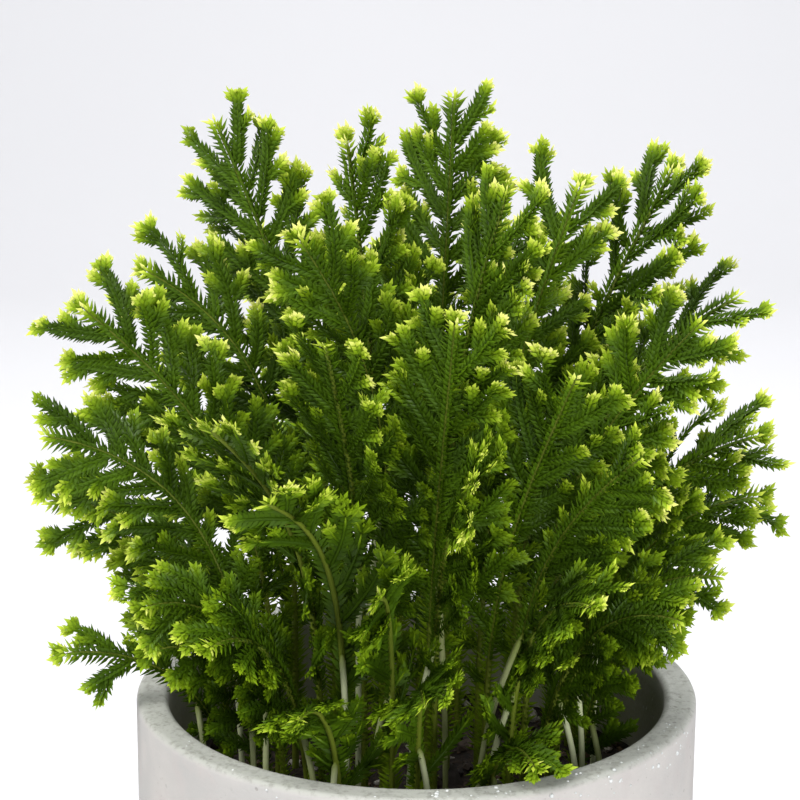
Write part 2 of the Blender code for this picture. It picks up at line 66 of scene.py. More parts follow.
MM = 0.001
UP = np.array((0.0, 0.0, 1.0))
POT_RADIUS = 65.0 * MM
POT_HEIGHT = 115.0 * MM
WALL = 7.5 * MM
POT_FLOOR = 10.0 * MM
SOIL_BELOW_RIM = 25.0 * MM
GAP = 0.3 * MM
RIM_TOP = POT_HEIGHT
SOIL_TOP = POT_HEIGHT - SOIL_BELOW_RIM
SOIL_RADIUS = POT_RADIUS - WALL - GAP
pot_box = [[round(value / MM, 1) for value in corner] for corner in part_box("pot")]
print("pot in the frame, in mm:", pot_box)

# %% [markdown]
# The camera stands where the photograph's did. The pot's rim is a circle of known size, so its
# ellipse in the picture gives the distance, the height and the tilt. The lens is a long one.

# %% Camera
CAMERA_DISTANCE = 600.0 * MM
CAMERA_RISE = math.radians(21.65)
CAMERA_PITCH = math.radians(15.29)
CAMERA_YAW = math.radians(-0.42)
CAMERA_ROLL = math.radians(0.26)
SENSOR = 36.0
LENS = 115.1


def stand(name, data, right, above, back, place):
    """Puts a camera or a light in the scene, by its three axes and its place."""
    matrix = np.eye(4)
    matrix[:3, :4] = np.stack((right, above, back, place), axis=1)
    obj = bpy.data.objects.new(name, data)
    obj.matrix_world = Matrix(matrix.tolist())
    bpy.context.scene.collection.objects.link(obj)
    return obj


def add_camera():
    """A camera with the fitted axes: right and up turned by the roll, back along the view."""
    ahead = np.array((math.sin(CAMERA_YAW) * math.cos(CAMERA_PITCH),
                      math.cos(CAMERA_YAW) * math.cos(CAMERA_PITCH), -math.sin(CAMERA_PITCH)))
    right = np.array((math.cos(CAMERA_YAW), -math.sin(CAMERA_YAW), 0.0))
    above = np.cross(right, ahead)
    turned_right = right * math.cos(CAMERA_ROLL) + above * math.sin(CAMERA_ROLL)
    turned_up = above * math.cos(CAMERA_ROLL) - right * math.sin(CAMERA_ROLL)
    place = (0.0, -CAMERA_DISTANCE * math.cos(CAMERA_RISE),
             RIM_TOP + CAMERA_DISTANCE * math.sin(CAMERA_RISE))
    data = bpy.data.cameras.new("camera")
    data.sensor_width = SENSOR
    data.lens = LENS
    camera = stand("camera", data, turned_right, turned_up, -ahead, place)
    bpy.context.scene.camera = camera
    return camera


print("camera at", [round(value, 3) for value in add_camera().location])

# %% [markdown]
# A shader is a small graph of nodes. Written as expressions it stays readable, so one class
# wraps an output and turns arithmetic into Math nodes, and another makes any other node.

# %% Shader tools
MIX_SHARE = 0
MIX_FIRST = 6
MIX_SECOND = 7
MIX_RESULT = 2


class Wire:
    """One output in a material, with arithmetic that adds Math nodes."""

    def __init__(self, tree, socket):
        self.tree = tree
        self.socket = socket

    def math(self, operation, *values):
        """A Math node with these values or wires on its inputs."""
        node = self.tree.nodes.new("ShaderNodeMath")
        node.operation = operation
        for place, value in zip(node.inputs, values):
            connect(self.tree, value, place)
        return Wire(self.tree, node.outputs[0])

    def __add__(self, other):
        return self.math("ADD", self, other)

    def __sub__(self, other):
        return self.math("SUBTRACT", self, other)

    def __rsub__(self, other):
        return self.math("SUBTRACT", other, self)

    def __mul__(self, other):
        return self.math("MULTIPLY", self, other)

    def step(self, low, high):
        """0 below low, 1 above high and a smooth rise between; high may be the lower one."""
        node = self.tree.nodes.new("ShaderNodeMapRange")
        node.interpolation_type = "SMOOTHSTEP"
        connect(self.tree, self, node.inputs["Value"])
        node.inputs["From Min"].default_value = low
        node.inputs["From Max"].default_value = high
        return Wire(self.tree, node.outputs["Result"])

    __radd__ = __add__
    __rmul__ = __mul__


def connect(tree, value, socket):
    """Links a wire to a socket, or sets the socket's own value."""
    if isinstance(value, Wire):
        tree.links.new(value.socket, socket)
    else:
        socket.default_value = value


class Finish:
    """A material with one Principled shader, whose inputs are set by name."""

    def __init__(self, name):
        self.material = bpy.data.materials.new(name)
        self.material.use_nodes = True
        self.tree = self.material.node_tree
        self.shader = self.tree.nodes["Principled BSDF"]

    def node(self, kind, settings, sockets, out=0):
        """Any node: its settings first, then its sockets' values or wires; one output as a wire."""
        node = self.tree.nodes.new(kind)
        for name, value in settings.items():
            if name == "stops":
                set_stops(node.color_ramp, value)
            else:
                setattr(node, name, value)
        for name, value in sockets.items():
            connect(self.tree, value, node.inputs[name])
        return Wire(self.tree, node.outputs[out])

    def place(self):
        """The point on the surface, in the object's own coordinates."""
        return self.node("ShaderNodeTexCoord", {}, {}, "Object")

    def attribute(self, name):
        """A number kept on the mesh's points."""
        return self.node("ShaderNodeAttribute", {"attribute_name": name}, {}, "Fac")

    def noise(self, size, detail=3.0, rough=0.55):
        """Soft noise whose lumps are about size across, from 0 to 1."""
        sockets = {"Vector": self.place(), "Scale": 1.0 / size,
                   "Detail": detail, "Roughness": rough}
        return self.node("ShaderNodeTexNoise", {}, sockets, "Fac")

    def cells(self, size):
        """Distance to the nearest of scattered points about size apart, in cell widths."""
        sockets = {"Vector": self.place(), "Scale": 1.0 / size}
        return self.node("ShaderNodeTexVoronoi", {}, sockets, "Distance")

    def ramp(self, stops, value):
        """Colours along a number."""
        return self.node("ShaderNodeValToRGB", {"stops": stops}, {"Fac": value}, "Color")

    def mix(self, share, *colours):
        """Two colours mixed by a share, on the Mix node's sockets for colours."""
        first, second = (colour if isinstance(colour, Wire) else (*colour, 1.0)
                         for colour in colours)
        sockets = {MIX_SHARE: share, MIX_FIRST: first, MIX_SECOND: second}
        return self.node("ShaderNodeMix", {"data_type": "RGBA"}, sockets, MIX_RESULT)

    def bump(self, height, depth, strength=1.0, normal=None):
        """A Bump node: height from 0 to 1 stands for depth metres."""
        sockets = {"Height": height, "Distance": depth, "Strength": strength}
        if normal is not None:
            sockets["Normal"] = normal
        return self.node("ShaderNodeBump", {}, sockets, "Normal")

    def set(self, **values):
        """Sets the shader's inputs; an underscore in a name stands for a space."""
        for name, value in values.items():
            connect(self.tree, value, self.shader.inputs[name.replace("_", " ")])
        return self.material


def set_stops(ramp, stops):
    """Puts (position, colour) stops on a colour ramp."""
    while len(ramp.elements) < len(stops):
        ramp.elements.new(1.0)
    for element, (position, colour) in zip(ramp.elements, stops):
        element.position = position
        element.color = (*colour, 1.0)


print("shader tools ready")

# %% [markdown]
# Every new piece is made of points and faces worked out as whole arrays. One function turns
# them into an object that rides on the model's only body. Another gives the triangles of any
# closed form made of rings, such as a tube, a bead or the pot.

# %% Mesh tools
def unit(vectors):
    """The same vectors with length one."""
    vectors = np.asarray(vectors, dtype=float)
    return vectors / np.maximum(np.linalg.norm(vectors, axis=-1, keepdims=True), 1e-12)


def add_piece(name, points, faces, material, replaced=(), smooth=True, uv=None, numbers=None):
    """An object from points and faces of equal size, with numbers on its points and a map."""
    faces = np.asarray(faces, dtype=np.int32)
    mesh = bpy.data.meshes.new(name)
    mesh.vertices.add(len(points))
    mesh.vertices.foreach_set("co", np.asarray(points, dtype=np.float32).ravel())
    mesh.loops.add(faces.size)
    mesh.loops.foreach_set("vertex_index", faces.ravel())
    mesh.polygons.add(len(faces))
    mesh.polygons.foreach_set("loop_start", np.arange(len(faces), dtype=np.int32) * faces.shape[1])
    mesh.polygons.foreach_set("use_smooth", np.broadcast_to(smooth, len(faces)).astype(bool))
    mesh.update(calc_edges=True)
    if uv is not None:
        layer = mesh.uv_layers.new(name="OFBake")
        layer.uv.foreach_set("vector", np.asarray(uv, dtype=np.float32).ravel())
    for key, values in (numbers or {}).items():
        attribute = mesh.attributes.new(key, "FLOAT", "POINT")
        attribute.data.foreach_set("value", np.asarray(values, dtype=np.float32))
    mesh.materials.append(material)
    obj = bpy.data.objects.new(name, mesh)
    bpy.context.scene.collection.objects.link(obj)
    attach(obj, "root")
    if replaced:
        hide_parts(*replaced)
    return obj


def ring_faces(rows, columns):
    """Outward triangles of rings that rise from a first single point to a last one."""
    i = np.arange(columns)
    j = (i + 1) % columns
    low = 1 + columns * np.arange(rows - 1)[:, None]
    high = low + columns
    end = 1 + rows * columns
    return np.vstack((np.stack((0 * i, 1 + j, 1 + i), axis=1),
                      np.stack((low + i, low + j, high + j), axis=-1).reshape(-1, 3),
                      np.stack((low + i, high + j, high + i), axis=-1).reshape(-1, 3),
                      np.stack((end - columns + i, end - columns + j, end + 0 * i), axis=1)))


print("mesh tools ready")

# %% [markdown]
# How the clump grows. Each stem rises from the soil to a tip whose place was read off the
# photograph, along a cubic curve. The stem and its branches lie in one sheet that is bent along
# that curve, droops to its sides and turns towards the light. The rule, its sizes and its seed
# are those of the plain solids, so every fine leaf lies on the blade that it stands for.

# %% Sizes of the stems and where their tips stand
STEM_DEPTH = 13.0 * MM
FOOT_RISE = 2.0 * MM
OUTWARD = 0.25
LOW_HANDLE = 0.5
TIP_HANDLE = 0.38
CURVE_ROWS = 90
ROLL_RANGE = (0.2, 0.6)
ROLLS = (0, 15, -15, 30, -30, 45, -45)
ROOT_SPREAD = 0.56
ROOT_DRAW_IN = 1.6
ROOT_LIMIT = 47.0 * MM
ROOT_SPACING = 6.0 * MM
ROOT_STRAY = 1.5 * MM
ROOT_TRIES = 300
STRAY_GROWTH = 1.02
TIP_ROWS = 20
LIGHT_FROM = (-0.35, -0.80, 0.50)
LIGHT_PULL = 0.8
BRANCH_PITCH = 10.0 * MM
LOW_BRANCH_PITCH = 14.5 * MM
BRANCH_REACH = (0.26, 0.12)
BRANCH_ANGLE = (50.0, 15.0)
BRANCH_BEND = math.radians(16.0)
SIDE_LAG = 5.5 * MM
BARE_TIP = 8.0 * MM
FORK_AT = 0.40
FORK_REACH = 0.36
FORK_PITCH = 1.5 * MM
FORK_ANGLE = math.radians(42.0)
FORK_BEND = math.radians(12.0)
FROND_SHARE = 0.62
FROND_RANGE = (34.0 * MM, 76.0 * MM)
LEAF_HALF_WIDTH = 2.9 * MM
CUP = 5.0
FORKED_FROM = 20.5 * MM
SHORTEST = 5.5 * MM
TILT = 0.22
SHEET_MARGIN = 14.0 * MM
TIP_OVERREACH = 1.5 * MM
STILT_DEPTH = 7.0 * MM
STILT_COUNT = 20
STILT_APART = 4.4 * MM
STILT_DROP = 7.0 * MM
STILT_RISE = 0.22
STILT_AWAY = (4.5, 10.0)
STILT_HANG = (10.0, 22.0)
STILT_TRIES = 12
STILT_FREE = 0.2
STILT_STRAIGHT = 5.0 * MM
STILT_CLEAR = 4.5 * MM
STILT_SAMPLES = 60
CELL = 0.7 * MM
ROOM = 2.1 * MM
ROOM_SPAN = 0.105
ROOM_DEPTH = 20.0 * MM
ROOM_EXTRA_CELLS = 80
WALL_CLEAR = 1.8 * MM
RIM_CLEAR = 2.2 * MM
SOIL_CLEAR = 4.0 * MM
END_CLEAR = 3.0 * MM
SAMPLE_STEP = 1.5 * MM
SAMPLE_PAST = 0.8 * MM
SEED = 20
FILL_SEED, LEAF_SEED, POT_SEED, SOIL_SEED, CRUMB_SEED, BEAD_SEED = (
    SEED + 100 * part for part in range(1, 7))

# Where each stem's tip stands, in millimetres from the axis and above the rim,
# and how steeply the tip rises, in degrees
LEFT_PLUMES = ((-77, -5, 93, 40), (-84, -14, 64, 10), (-86, 4, 43, -5), (-83, -14, 12, -8),
               (-62, -24, 15, -28))
TOP_LEFT = ((-48, 32, 128, 60), (-66, 22, 95, 20), (-28, -8, 110, 55), (-17, 24, 127, 75))
TOP_RIGHT = ((8, 36, 134, 80), (20, 6, 117, 72), (38, 22, 117, 65), (59, 20, 121, 62),
             (74, 12, 91, 25))
RIGHT_PLUMES = ((62, -20, 93, 48), (79, -8, 64, 15), (82, 8, 44, 0), (68, -26, 36, 0),
                (61, -10, 16, -14))
FRONT_HIGH = ((8, -34, 98, 76), (-20, -36, 92, 66), (34, -32, 84, 64), (48, -40, 68, 40),
              (-46, -38, 74, 40))
FRONT_LOW = ((12, -52, 66, 30), (-32, -50, 60, 24), (-46, -50, 26, -20), (-26, -62, 14, -22),
             (2, -66, 20, -16), (26, -62, 4, -30), (38, -58, 40, 4), (-8, -60, 42, 8),
             (58, -38, 30, -6), (-62, -34, 30, -14))
BACK = ((-40, 58, 96, 30), (-66, 50, 58, 8), (-10, 66, 92, 28), (26, 62, 98, 32), (58, 48, 76, 18),
        (-34, 74, 44, 0), (8, 80, 42, 0), (46, 70, 36, -6), (70, 42, 28, -8), (-68, 38, 24, -8))
TIPS = LEFT_PLUMES + TOP_LEFT + TOP_RIGHT + RIGHT_PLUMES + FRONT_HIGH + FRONT_LOW + BACK
print("stems:", len(TIPS))

# %% [markdown]
# The sheet of a stem: a point on it has a distance along the stem, a distance to the left and a
# lift off the sheet. The lift sinks with the square of the distance to the side, so the blade is
# arched. Branches laid out flat and then bent with the sheet stay joined to their stem.

# %% The arched sheet
def smooth_step(values, low, high):
    """Zero below low, one above high, and an even rise between."""
    share = np.clip((values - low) / (high - low), 0.0, 1.0)
    return share * share * (3.0 - 2.0 * share)


class Sheet:
    """The arched sheet that one stem and its side branches lie in."""

    def __init__(self, root, tip, rise, roll):
        """A cubic curve from the soil to the tip, with a straight foot below and margin beyond."""
        start = np.array((root[0], root[1], SOIL_TOP + FOOT_RISE))
        out = np.array((tip[0] - root[0], tip[1] - root[1], 0.0))
        out = unit(out + OUTWARD * np.array((tip[0], tip[1], 0.0)))
        end_way = out * math.cos(rise) + UP * math.sin(rise)
        span = np.linalg.norm(tip - start)
        first = start + UP * span * LOW_HANDLE
        second = tip - end_way * span * TIP_HANDLE
        t = np.linspace(0.0, 1.0, CURVE_ROWS)[:, None]
        curve = ((1 - t) ** 3 * start + 3 * t * (1 - t) ** 2 * first
                 + 3 * t * t * (1 - t) * second + t ** 3 * tip)
        foot = start - UP * (STEM_DEPTH + FOOT_RISE)
        beyond = tip + end_way * SHEET_MARGIN
        self.line = np.vstack((foot, foot + UP * STEM_DEPTH, curve, beyond))
        steps = np.linalg.norm(np.diff(self.line, axis=0), axis=1)
        self.reach = np.concatenate(((0.0,), np.cumsum(steps)))
        self.length = self.reach[-2]
        ahead = unit(np.gradient(self.line, self.reach, axis=0))
        left = np.cross(UP, out)
        natural = np.cross(ahead, left) * math.cos(max(rise, 0.0)) ** 2
        face = unit(natural + LIGHT_PULL * unit(LIGHT_FROM))
        left = unit(np.cross(face, ahead))
        face = np.cross(ahead, left)
        low, high = ROLL_RANGE
        turn = roll * smooth_step(self.reach, low * self.length, high * self.length)[:, None]
        self.left = left * np.cos(turn) + face * np.sin(turn)
        self.face = face * np.cos(turn) - left * np.sin(turn)

    def blend(self, rows, u):
        """Rows of the sheet's own points or directions, read at distances u along it."""
        return np.stack([np.interp(u, self.reach, rows[:, axis]) for axis in range(3)], axis=-1)

    def at(self, places, lift=0.0):
        """Points from places along, across and off the sheet, which droops to its sides."""
        u, v, w = np.moveaxis(np.asarray(places), -1, 0)
        face = unit(self.blend(self.face, u))
        left = unit(self.blend(self.left, u))
        off = w + lift - CUP * v * v
        return self.blend(self.line, u) + left * v[..., None] + face * off[..., None]


print("sheet ready")

# %% [markdown]
# The flat layout of a frond: side branches alternate along the stem, nearly alike in length and
# cut off level with its tip. Each branch is a gently bent line that starts on its parent.

# %% The flat layout
class Limb:
    """One stem or branch in the layout: a gently bent line with kids on its sides."""

    def __init__(self, start, angle, length, bend, tilt, kind):
        self.start = np.array(start)
        self.angle = angle
        self.length = length
        self.bend = bend
        self.tilt = tilt
        self.kind = kind
        self.kids = []
        self.full = length

    def way(self, s):
        """Direction angle at distance s."""
        return self.angle + self.bend * np.asarray(s) / self.full

    def at(self, s, side=0.0):
        """Point at distance s, moved to the left by side: along, across and off the sheet."""
        s, side = np.broadcast_arrays(np.asarray(s, dtype=float), side)
        middle = self.angle + self.bend * s / self.full / 2.0
        way = self.way(s)
        u = self.start[0] + s * np.cos(middle) - side * np.sin(way)
        v = self.start[1] + s * np.sin(middle) + side * np.cos(way)
        w = self.start[2] + s * self.tilt
        return np.stack((u, v, w), axis=-1)

    def add(self, s, side, angle, length, bend, tilt, kind):
        """Grows a kid at distance s on the left (+1) or right (-1)."""
        kid = Limb(self.at(s), self.way(s) + side * angle, length, -side * bend, tilt, kind)
        self.kids.append((s, side, kid))
        return kid


def lay_out(length, frond, rng):
    """A stem with its frond: side branches on both sides, cut off level with the stem's tip."""
    stem = Limb((0.0, 0.0, 0.0), 0.0, length, 0.0, 0.0, "stem")
    side = 1 if rng.random() < 0.5 else -1
    (short, more), (wide, less) = BRANCH_REACH, BRANCH_ANGLE
    done = {side: 0.0, -side: SIDE_LAG}
    while min(done.values()) < frond - BARE_TIP:
        side = min(done, key=done.get)
        share = done[side] / frond
        reach = frond * (short + more * (1.0 - share)) * rng.uniform(0.88, 1.12)
        angle = math.radians(wide - less * share) + rng.normal(0.0, 0.03)
        place = length - frond + done[side]
        reach = min(reach, (length + TIP_OVERREACH - place) / math.cos(angle))
        tilt = rng.normal(0.0, TILT) * (1.0 - share)
        limb = stem.add(place, side, angle, reach, BRANCH_BEND, tilt, "branch")
        done[side] += LOW_BRANCH_PITCH + (BRANCH_PITCH - LOW_BRANCH_PITCH) * share
        if reach > FORKED_FROM:
            limb.add(FORK_AT * reach, side, FORK_ANGLE, FORK_REACH * reach, FORK_BEND, tilt,
                     "branch")
            done[side] += FORK_PITCH
    return stem


print("layout ready")

# %% [markdown]
# Real stems push each other aside. A grid of small cells remembers which stem fills the space,
# so a branch stops short of its neighbour, of the pot and of the soil. That is quicker than to
# test the meshes against each other.

# %% Room between the stems
class Room:
    """A grid of small cells that says which stem already fills the space."""

    def __init__(self):
        cells = int(2 * ROOM_SPAN / CELL)
        self.owner = np.zeros((cells, cells, cells + ROOM_EXTRA_CELLS), dtype=np.int16)
        reach = int(ROOM / CELL)
        steps = np.arange(-reach, reach + 1)
        ball = np.stack(np.meshgrid(steps, steps, steps, indexing="ij"), axis=-1).reshape(-1, 3)
        self.ball = ball[np.linalg.norm(ball * CELL, axis=1) <= ROOM]

    def cells(self, points):
        """Grid cells that hold the points."""
        corner = np.array((-ROOM_SPAN, -ROOM_SPAN, SOIL_TOP - ROOM_DEPTH))
        index = np.floor((points - corner) / CELL).astype(int)
        return np.clip(index, 0, np.array(self.owner.shape) - 1)

    def fill(self, points, name):
        """Gives the free cells near the points to one stem."""
        near = (self.cells(points)[:, None, :] + self.ball[None]).reshape(-1, 3)
        near = np.clip(near, 0, np.array(self.owner.shape) - 1)
        x, y, z = near.T
        free = self.owner[x, y, z] == 0
        self.owner[x[free], y[free], z[free]] = name

    def clashes(self, points, name):
        """True for the points that meet another stem, the pot or the soil."""
        x, y, z = self.cells(points).T
        owner = self.owner[x, y, z]
        across = np.hypot(points[:, 0], points[:, 1])
        in_wall = (across > SOIL_RADIUS - WALL_CLEAR) & (across < POT_RADIUS + WALL_CLEAR)
        in_pot = in_wall & (points[:, 2] < RIM_TOP + RIM_CLEAR)
        in_soil = (across < POT_RADIUS) & (points[:, 2] < SOIL_TOP + SOIL_CLEAR)
        return ((owner != 0) & (owner != name)) | in_pot | in_soil


def limb_points(sheet, limb, start=0.0):
    """Sample points over a limb's leafy width, as a grid of distance by width."""
    s = np.arange(start + SAMPLE_STEP, limb.length + SAMPLE_PAST, SAMPLE_STEP)
    across = np.linspace(-LEAF_HALF_WIDTH, LEAF_HALF_WIDTH, 5)
    return sheet.at(limb.at(s[:, None], across[None, :]))


def free_length(sheet, limb, room, name):
    """How far the limb runs before it meets something, beyond its sunken start."""
    points = limb_points(sheet, limb)
    hit = room.clashes(points.reshape(-1, 3), name).reshape(points.shape[:2]).any(axis=1)
    if not hit.any():
        return limb.length
    return SAMPLE_STEP * int(np.argmax(hit))


def prune(sheet, limb, room, name):
    """Shortens the limb's kids to the room that they have, and drops those with too little."""
    kept = []
    for s, side, kid in limb.kids:
        free = free_length(sheet, kid, room, name)
        kid.length = min(kid.length, free)
        if s > limb.length - END_CLEAR or kid.length < SHORTEST:
            continue
        prune(sheet, kid, room, name)
        kept.append((s, side, kid))
    limb.kids = kept


def every_limb(limb):
    """The limb and all that grows from it."""
    yield limb
    for _, _, kid in limb.kids:
        yield from every_limb(kid)


print("room ready")

# %% [markdown]
# The whole clump: the roots are placed first, then each frond takes the turn about its stem that
# gives its branches the most room and light, and stilt roots drop from the lowest forks.

# %% The whole clump
def draw_root(tip, spread, rng):
    """A root point drawn in from the tip, further for a tall stem than for a low one."""
    share = ROOT_SPREAD - ROOT_DRAW_IN * (tip[2] - RIM_TOP)
    root = tip[:2] * share + rng.normal(0.0, spread, 2)
    return root * min(1.0, ROOT_LIMIT / np.linalg.norm(root))


def place_stem(name, tip, rise, roots, room, rng):
    """A root and its plain sheet, redrawn until the stem runs clear of those before it."""
    spread = ROOT_STRAY
    for _ in range(ROOT_TRIES):
        root = draw_root(tip, spread, rng)
        spread *= STRAY_GROWTH
        if any(np.linalg.norm(root - other) < ROOT_SPACING for other in roots):
            continue
        sheet = Sheet(root, tip, rise, 0.0)
        bare = Limb((0.0, 0.0, 0.0), 0.0, sheet.length, 0.0, 0.0, "stem")
        points = limb_points(sheet, bare, STEM_DEPTH + END_CLEAR).reshape(-1, 3)
        if not room.clashes(points, name).any():
            break
    room.fill(points, name)
    return root


def grow_frond(name, root, tip, rise, room):
    """The stem's sheet and layout at the turn that gives its branches the most room and light."""
    best = None
    for roll in ROLLS:
        sheet = Sheet(root, tip, rise, math.radians(roll))
        frond = float(np.clip(FROND_SHARE * sheet.length, *FROND_RANGE))
        stem = lay_out(sheet.length, frond, np.random.default_rng(SEED + name))
        prune(sheet, stem, room, name)
        lit = abs(np.dot(sheet.face[-TIP_ROWS:].mean(axis=0), unit(LIGHT_FROM)))
        score = sum(limb.length for limb in every_limb(stem)) * (0.5 + lit)
        if best is None or score > best[0]:
            best = (score, sheet, stem, frond)
    _, sheet, stem, frond = best
    for limb in every_limb(stem):
        start = STEM_DEPTH if limb is stem else 0.0
        room.fill(limb_points(sheet, limb, start).reshape(-1, 3), name)
    return sheet, stem, frond


def stilt_path(sheet, stem, frond, foot, free_end):
    """A stilt root's line: out of a fork, in a slack curve, then straight down."""
    top = sheet.at(stem.at(stem.length - frond * (1.0 - STILT_RISE)))
    over = np.array((foot[0], foot[1], SOIL_TOP + (free_end or STILT_STRAIGHT)))
    bend = np.array((foot[0], foot[1], top[2] * 0.45 + over[2] * 0.55))
    t = np.array((0.0, 0.5, 1.0))[:, None]
    path = (1 - t) ** 2 * top + 2 * t * (1 - t) * bend + t * t * over
    if free_end:
        return path
    return np.vstack((path, (foot[0], foot[1], SOIL_TOP - STILT_DEPTH)))


def grow_stilts(stems, feet, room, rng):
    """Stilt roots in front of their stems, the front stems first, each clear of other stems."""
    stilts = {name: [] for name in range(1, len(stems) + 1)}
    count = 0
    order = sorted(stilts, key=lambda name: feet[name - 1][1])
    for name in order + order[: len(order) // 3]:
        sheet, stem, frond = stems[name - 1]
        for _ in range(STILT_TRIES):
            turn = rng.uniform(-0.9, -0.1) * math.pi
            away = rng.uniform(*STILT_AWAY) * MM
            foot = sheet.line[0][:2] + away * np.array((math.cos(turn), math.sin(turn)))
            apart = min(np.linalg.norm(foot - other) for other in feet)
            hang = rng.uniform(*STILT_HANG) * MM if rng.random() < STILT_FREE else 0.0
            path = stilt_path(sheet, stem, frond, foot, hang)
            t = np.linspace(0.0, 1.0, STILT_SAMPLES)
            rows = np.linspace(0.0, 1.0, len(path))
            line = np.stack([np.interp(t, rows, path[:, axis]) for axis in range(3)], axis=1)
            line = line[line[:, 2] > SOIL_TOP + STILT_CLEAR]
            drop = path[0][2] - path[2][2]
            if apart > STILT_APART and drop > STILT_DROP and not room.clashes(line, name).any():
                room.fill(line, name)
                stilts[name].append(path)
                feet.append(foot)
                count += 1
                break
        if count == STILT_COUNT:
            break
    return stilts


def grow_clump():
    """Every stem as a sheet, a layout and its stilt roots, clear of the stems before it."""
    rng = np.random.default_rng(SEED)
    room = Room()
    tips = [np.array((x * MM, y * MM, RIM_TOP + z * MM)) for x, y, z, _ in TIPS]
    rises = [math.radians(rise) for _, _, _, rise in TIPS]
    roots = []
    for name, (tip, rise) in enumerate(zip(tips, rises), start=1):
        roots.append(place_stem(name, tip, rise, roots, room, rng))
    stems = []
    for name, (root, tip, rise) in enumerate(zip(roots, tips, rises), start=1):
        stems.append(grow_frond(name, root, tip, rise, room))
    stilts = grow_stilts(stems, list(roots), room, rng)
    return stems, stilts, room


stems, stilts, room = grow_clump()
print("branches on all stems:", sum(len(list(every_limb(stem))) for _, stem, _ in stems))

# %% [markdown]
# The plain solids carry only the larger branches. A real frond has a branch in every gap, short
# twigs along their outer halves and a forked tip. They are added to the same layout, each only
# as long as its room allows, so no branch runs into a neighbour's.

# %% Branches in the gaps and low on the stems
FILL_SHARE = 0.85
FILL_GAP = 7.0 * MM
LOW_BRANCH = (7.0 * MM, 12.0 * MM)
LOW_STEP = (8.0 * MM, 12.0 * MM)
LOW_FROM = (24.0 * MM, 34.0 * MM)
FILL_ANGLES = (40.0, 52.0)
FILL_TILT = 0.3
LOW_ANGLES = (48.0, 70.0)
LOW_BEND = math.radians(20.0)
LOW_TILT = 0.45


def try_limb(sheet, parent, room, name, least, *shape):
    """Grows a kid on the parent, cut to its room, and takes it off again if that is too little."""
    kid = parent.add(*shape)
    kid.length = min(kid.length, free_length(sheet, kid, room, name))
    if kid.length < least:
        parent.kids.pop()
        return None
    return kid


def fill_gaps(sheet, stem, room, name, rng):
    """A branch in each gap between two neighbours on one side, a little shorter than both."""
    for side in (1, -1):
        own = sorted((row for row in stem.kids if row[1] == side), key=lambda row: row[0])
        for (low, _, below), (high, _, above) in zip(own, own[1:]):
            if high - low < FILL_GAP:
                continue
            length = FILL_SHARE * (below.length + above.length) / 2.0
            angle = math.radians(rng.uniform(*FILL_ANGLES))
            try_limb(sheet, stem, room, name, SHORTEST, (low + high) / 2.0, side, angle, length,
                     BRANCH_BEND, rng.normal(0.0, FILL_TILT), "branch")


def add_low_branches(sheet, stem, frond, room, name, rng):
    """Short branches in all directions on the stem between the soil and its frond."""
    s = STEM_DEPTH + rng.uniform(*LOW_FROM)
    side = 1
    while s < stem.length - frond - END_CLEAR:
        length = rng.uniform(*LOW_BRANCH)
        angle = math.radians(rng.uniform(*LOW_ANGLES))
        try_limb(sheet, stem, room, name, SHORTEST, s, side, angle, length,
                 LOW_BEND, rng.normal(0.0, LOW_TILT), "branch")
        side = -side
        s += rng.uniform(*LOW_STEP)


rng = np.random.default_rng(FILL_SEED)
for name, (sheet, stem, frond) in enumerate(stems, start=1):
    fill_gaps(sheet, stem, room, name, rng)
    add_low_branches(sheet, stem, frond, room, name, rng)
    for limb in every_limb(stem):
        if limb is not stem:
            room.fill(limb_points(sheet, limb).reshape(-1, 3), name)
print("branches after filling:", sum(len(list(every_limb(stem))) for _, stem, _ in stems))

# %% [markdown]
# Twigs and forked tips. Every branch of spikemoss ends in two or three blunt lobes, with short
# twigs before them, which is what makes a spray look like a small hand. Every limb is also
# turned a little about its own line, so that a spray isn't as flat as paper.

# %% Twigs and forked tips
TWIG_FROM = 12.5 * MM
TWIG_START = (0.38, 0.1)
TWIG_UNTIL = 5.0 * MM
TWIG_PAST = 0.5 * MM
TWIG_STEP = (5.2 * MM, 7.4 * MM)
TWIG_LENGTH = (5.5 * MM, 8.5 * MM)
TWIG_ANGLES = (34.0, 42.0)
TWIG_BEND = math.radians(8.0)
TWIG_TILT = 0.18
TWIG_LEAST = 3.4 * MM
TWIG_CLEAR = 4.2 * MM
FORK_FROM = 9.0 * MM
FORK_SHARE = 0.6
FORK_BACK = 3.4 * MM
FORK_LENGTH = (3.6 * MM, 4.8 * MM)
LOBE_ANGLES = (24.0, 32.0)
LOBE_LEAST = 0.8 * FORK_LENGTH[0]
LOBE_TILT = 0.12
LOBES_PASS = 0.55 * FORK_BACK
LEAF_OVERHANG = 1.0 * MM
TWIST = math.radians(20.0)


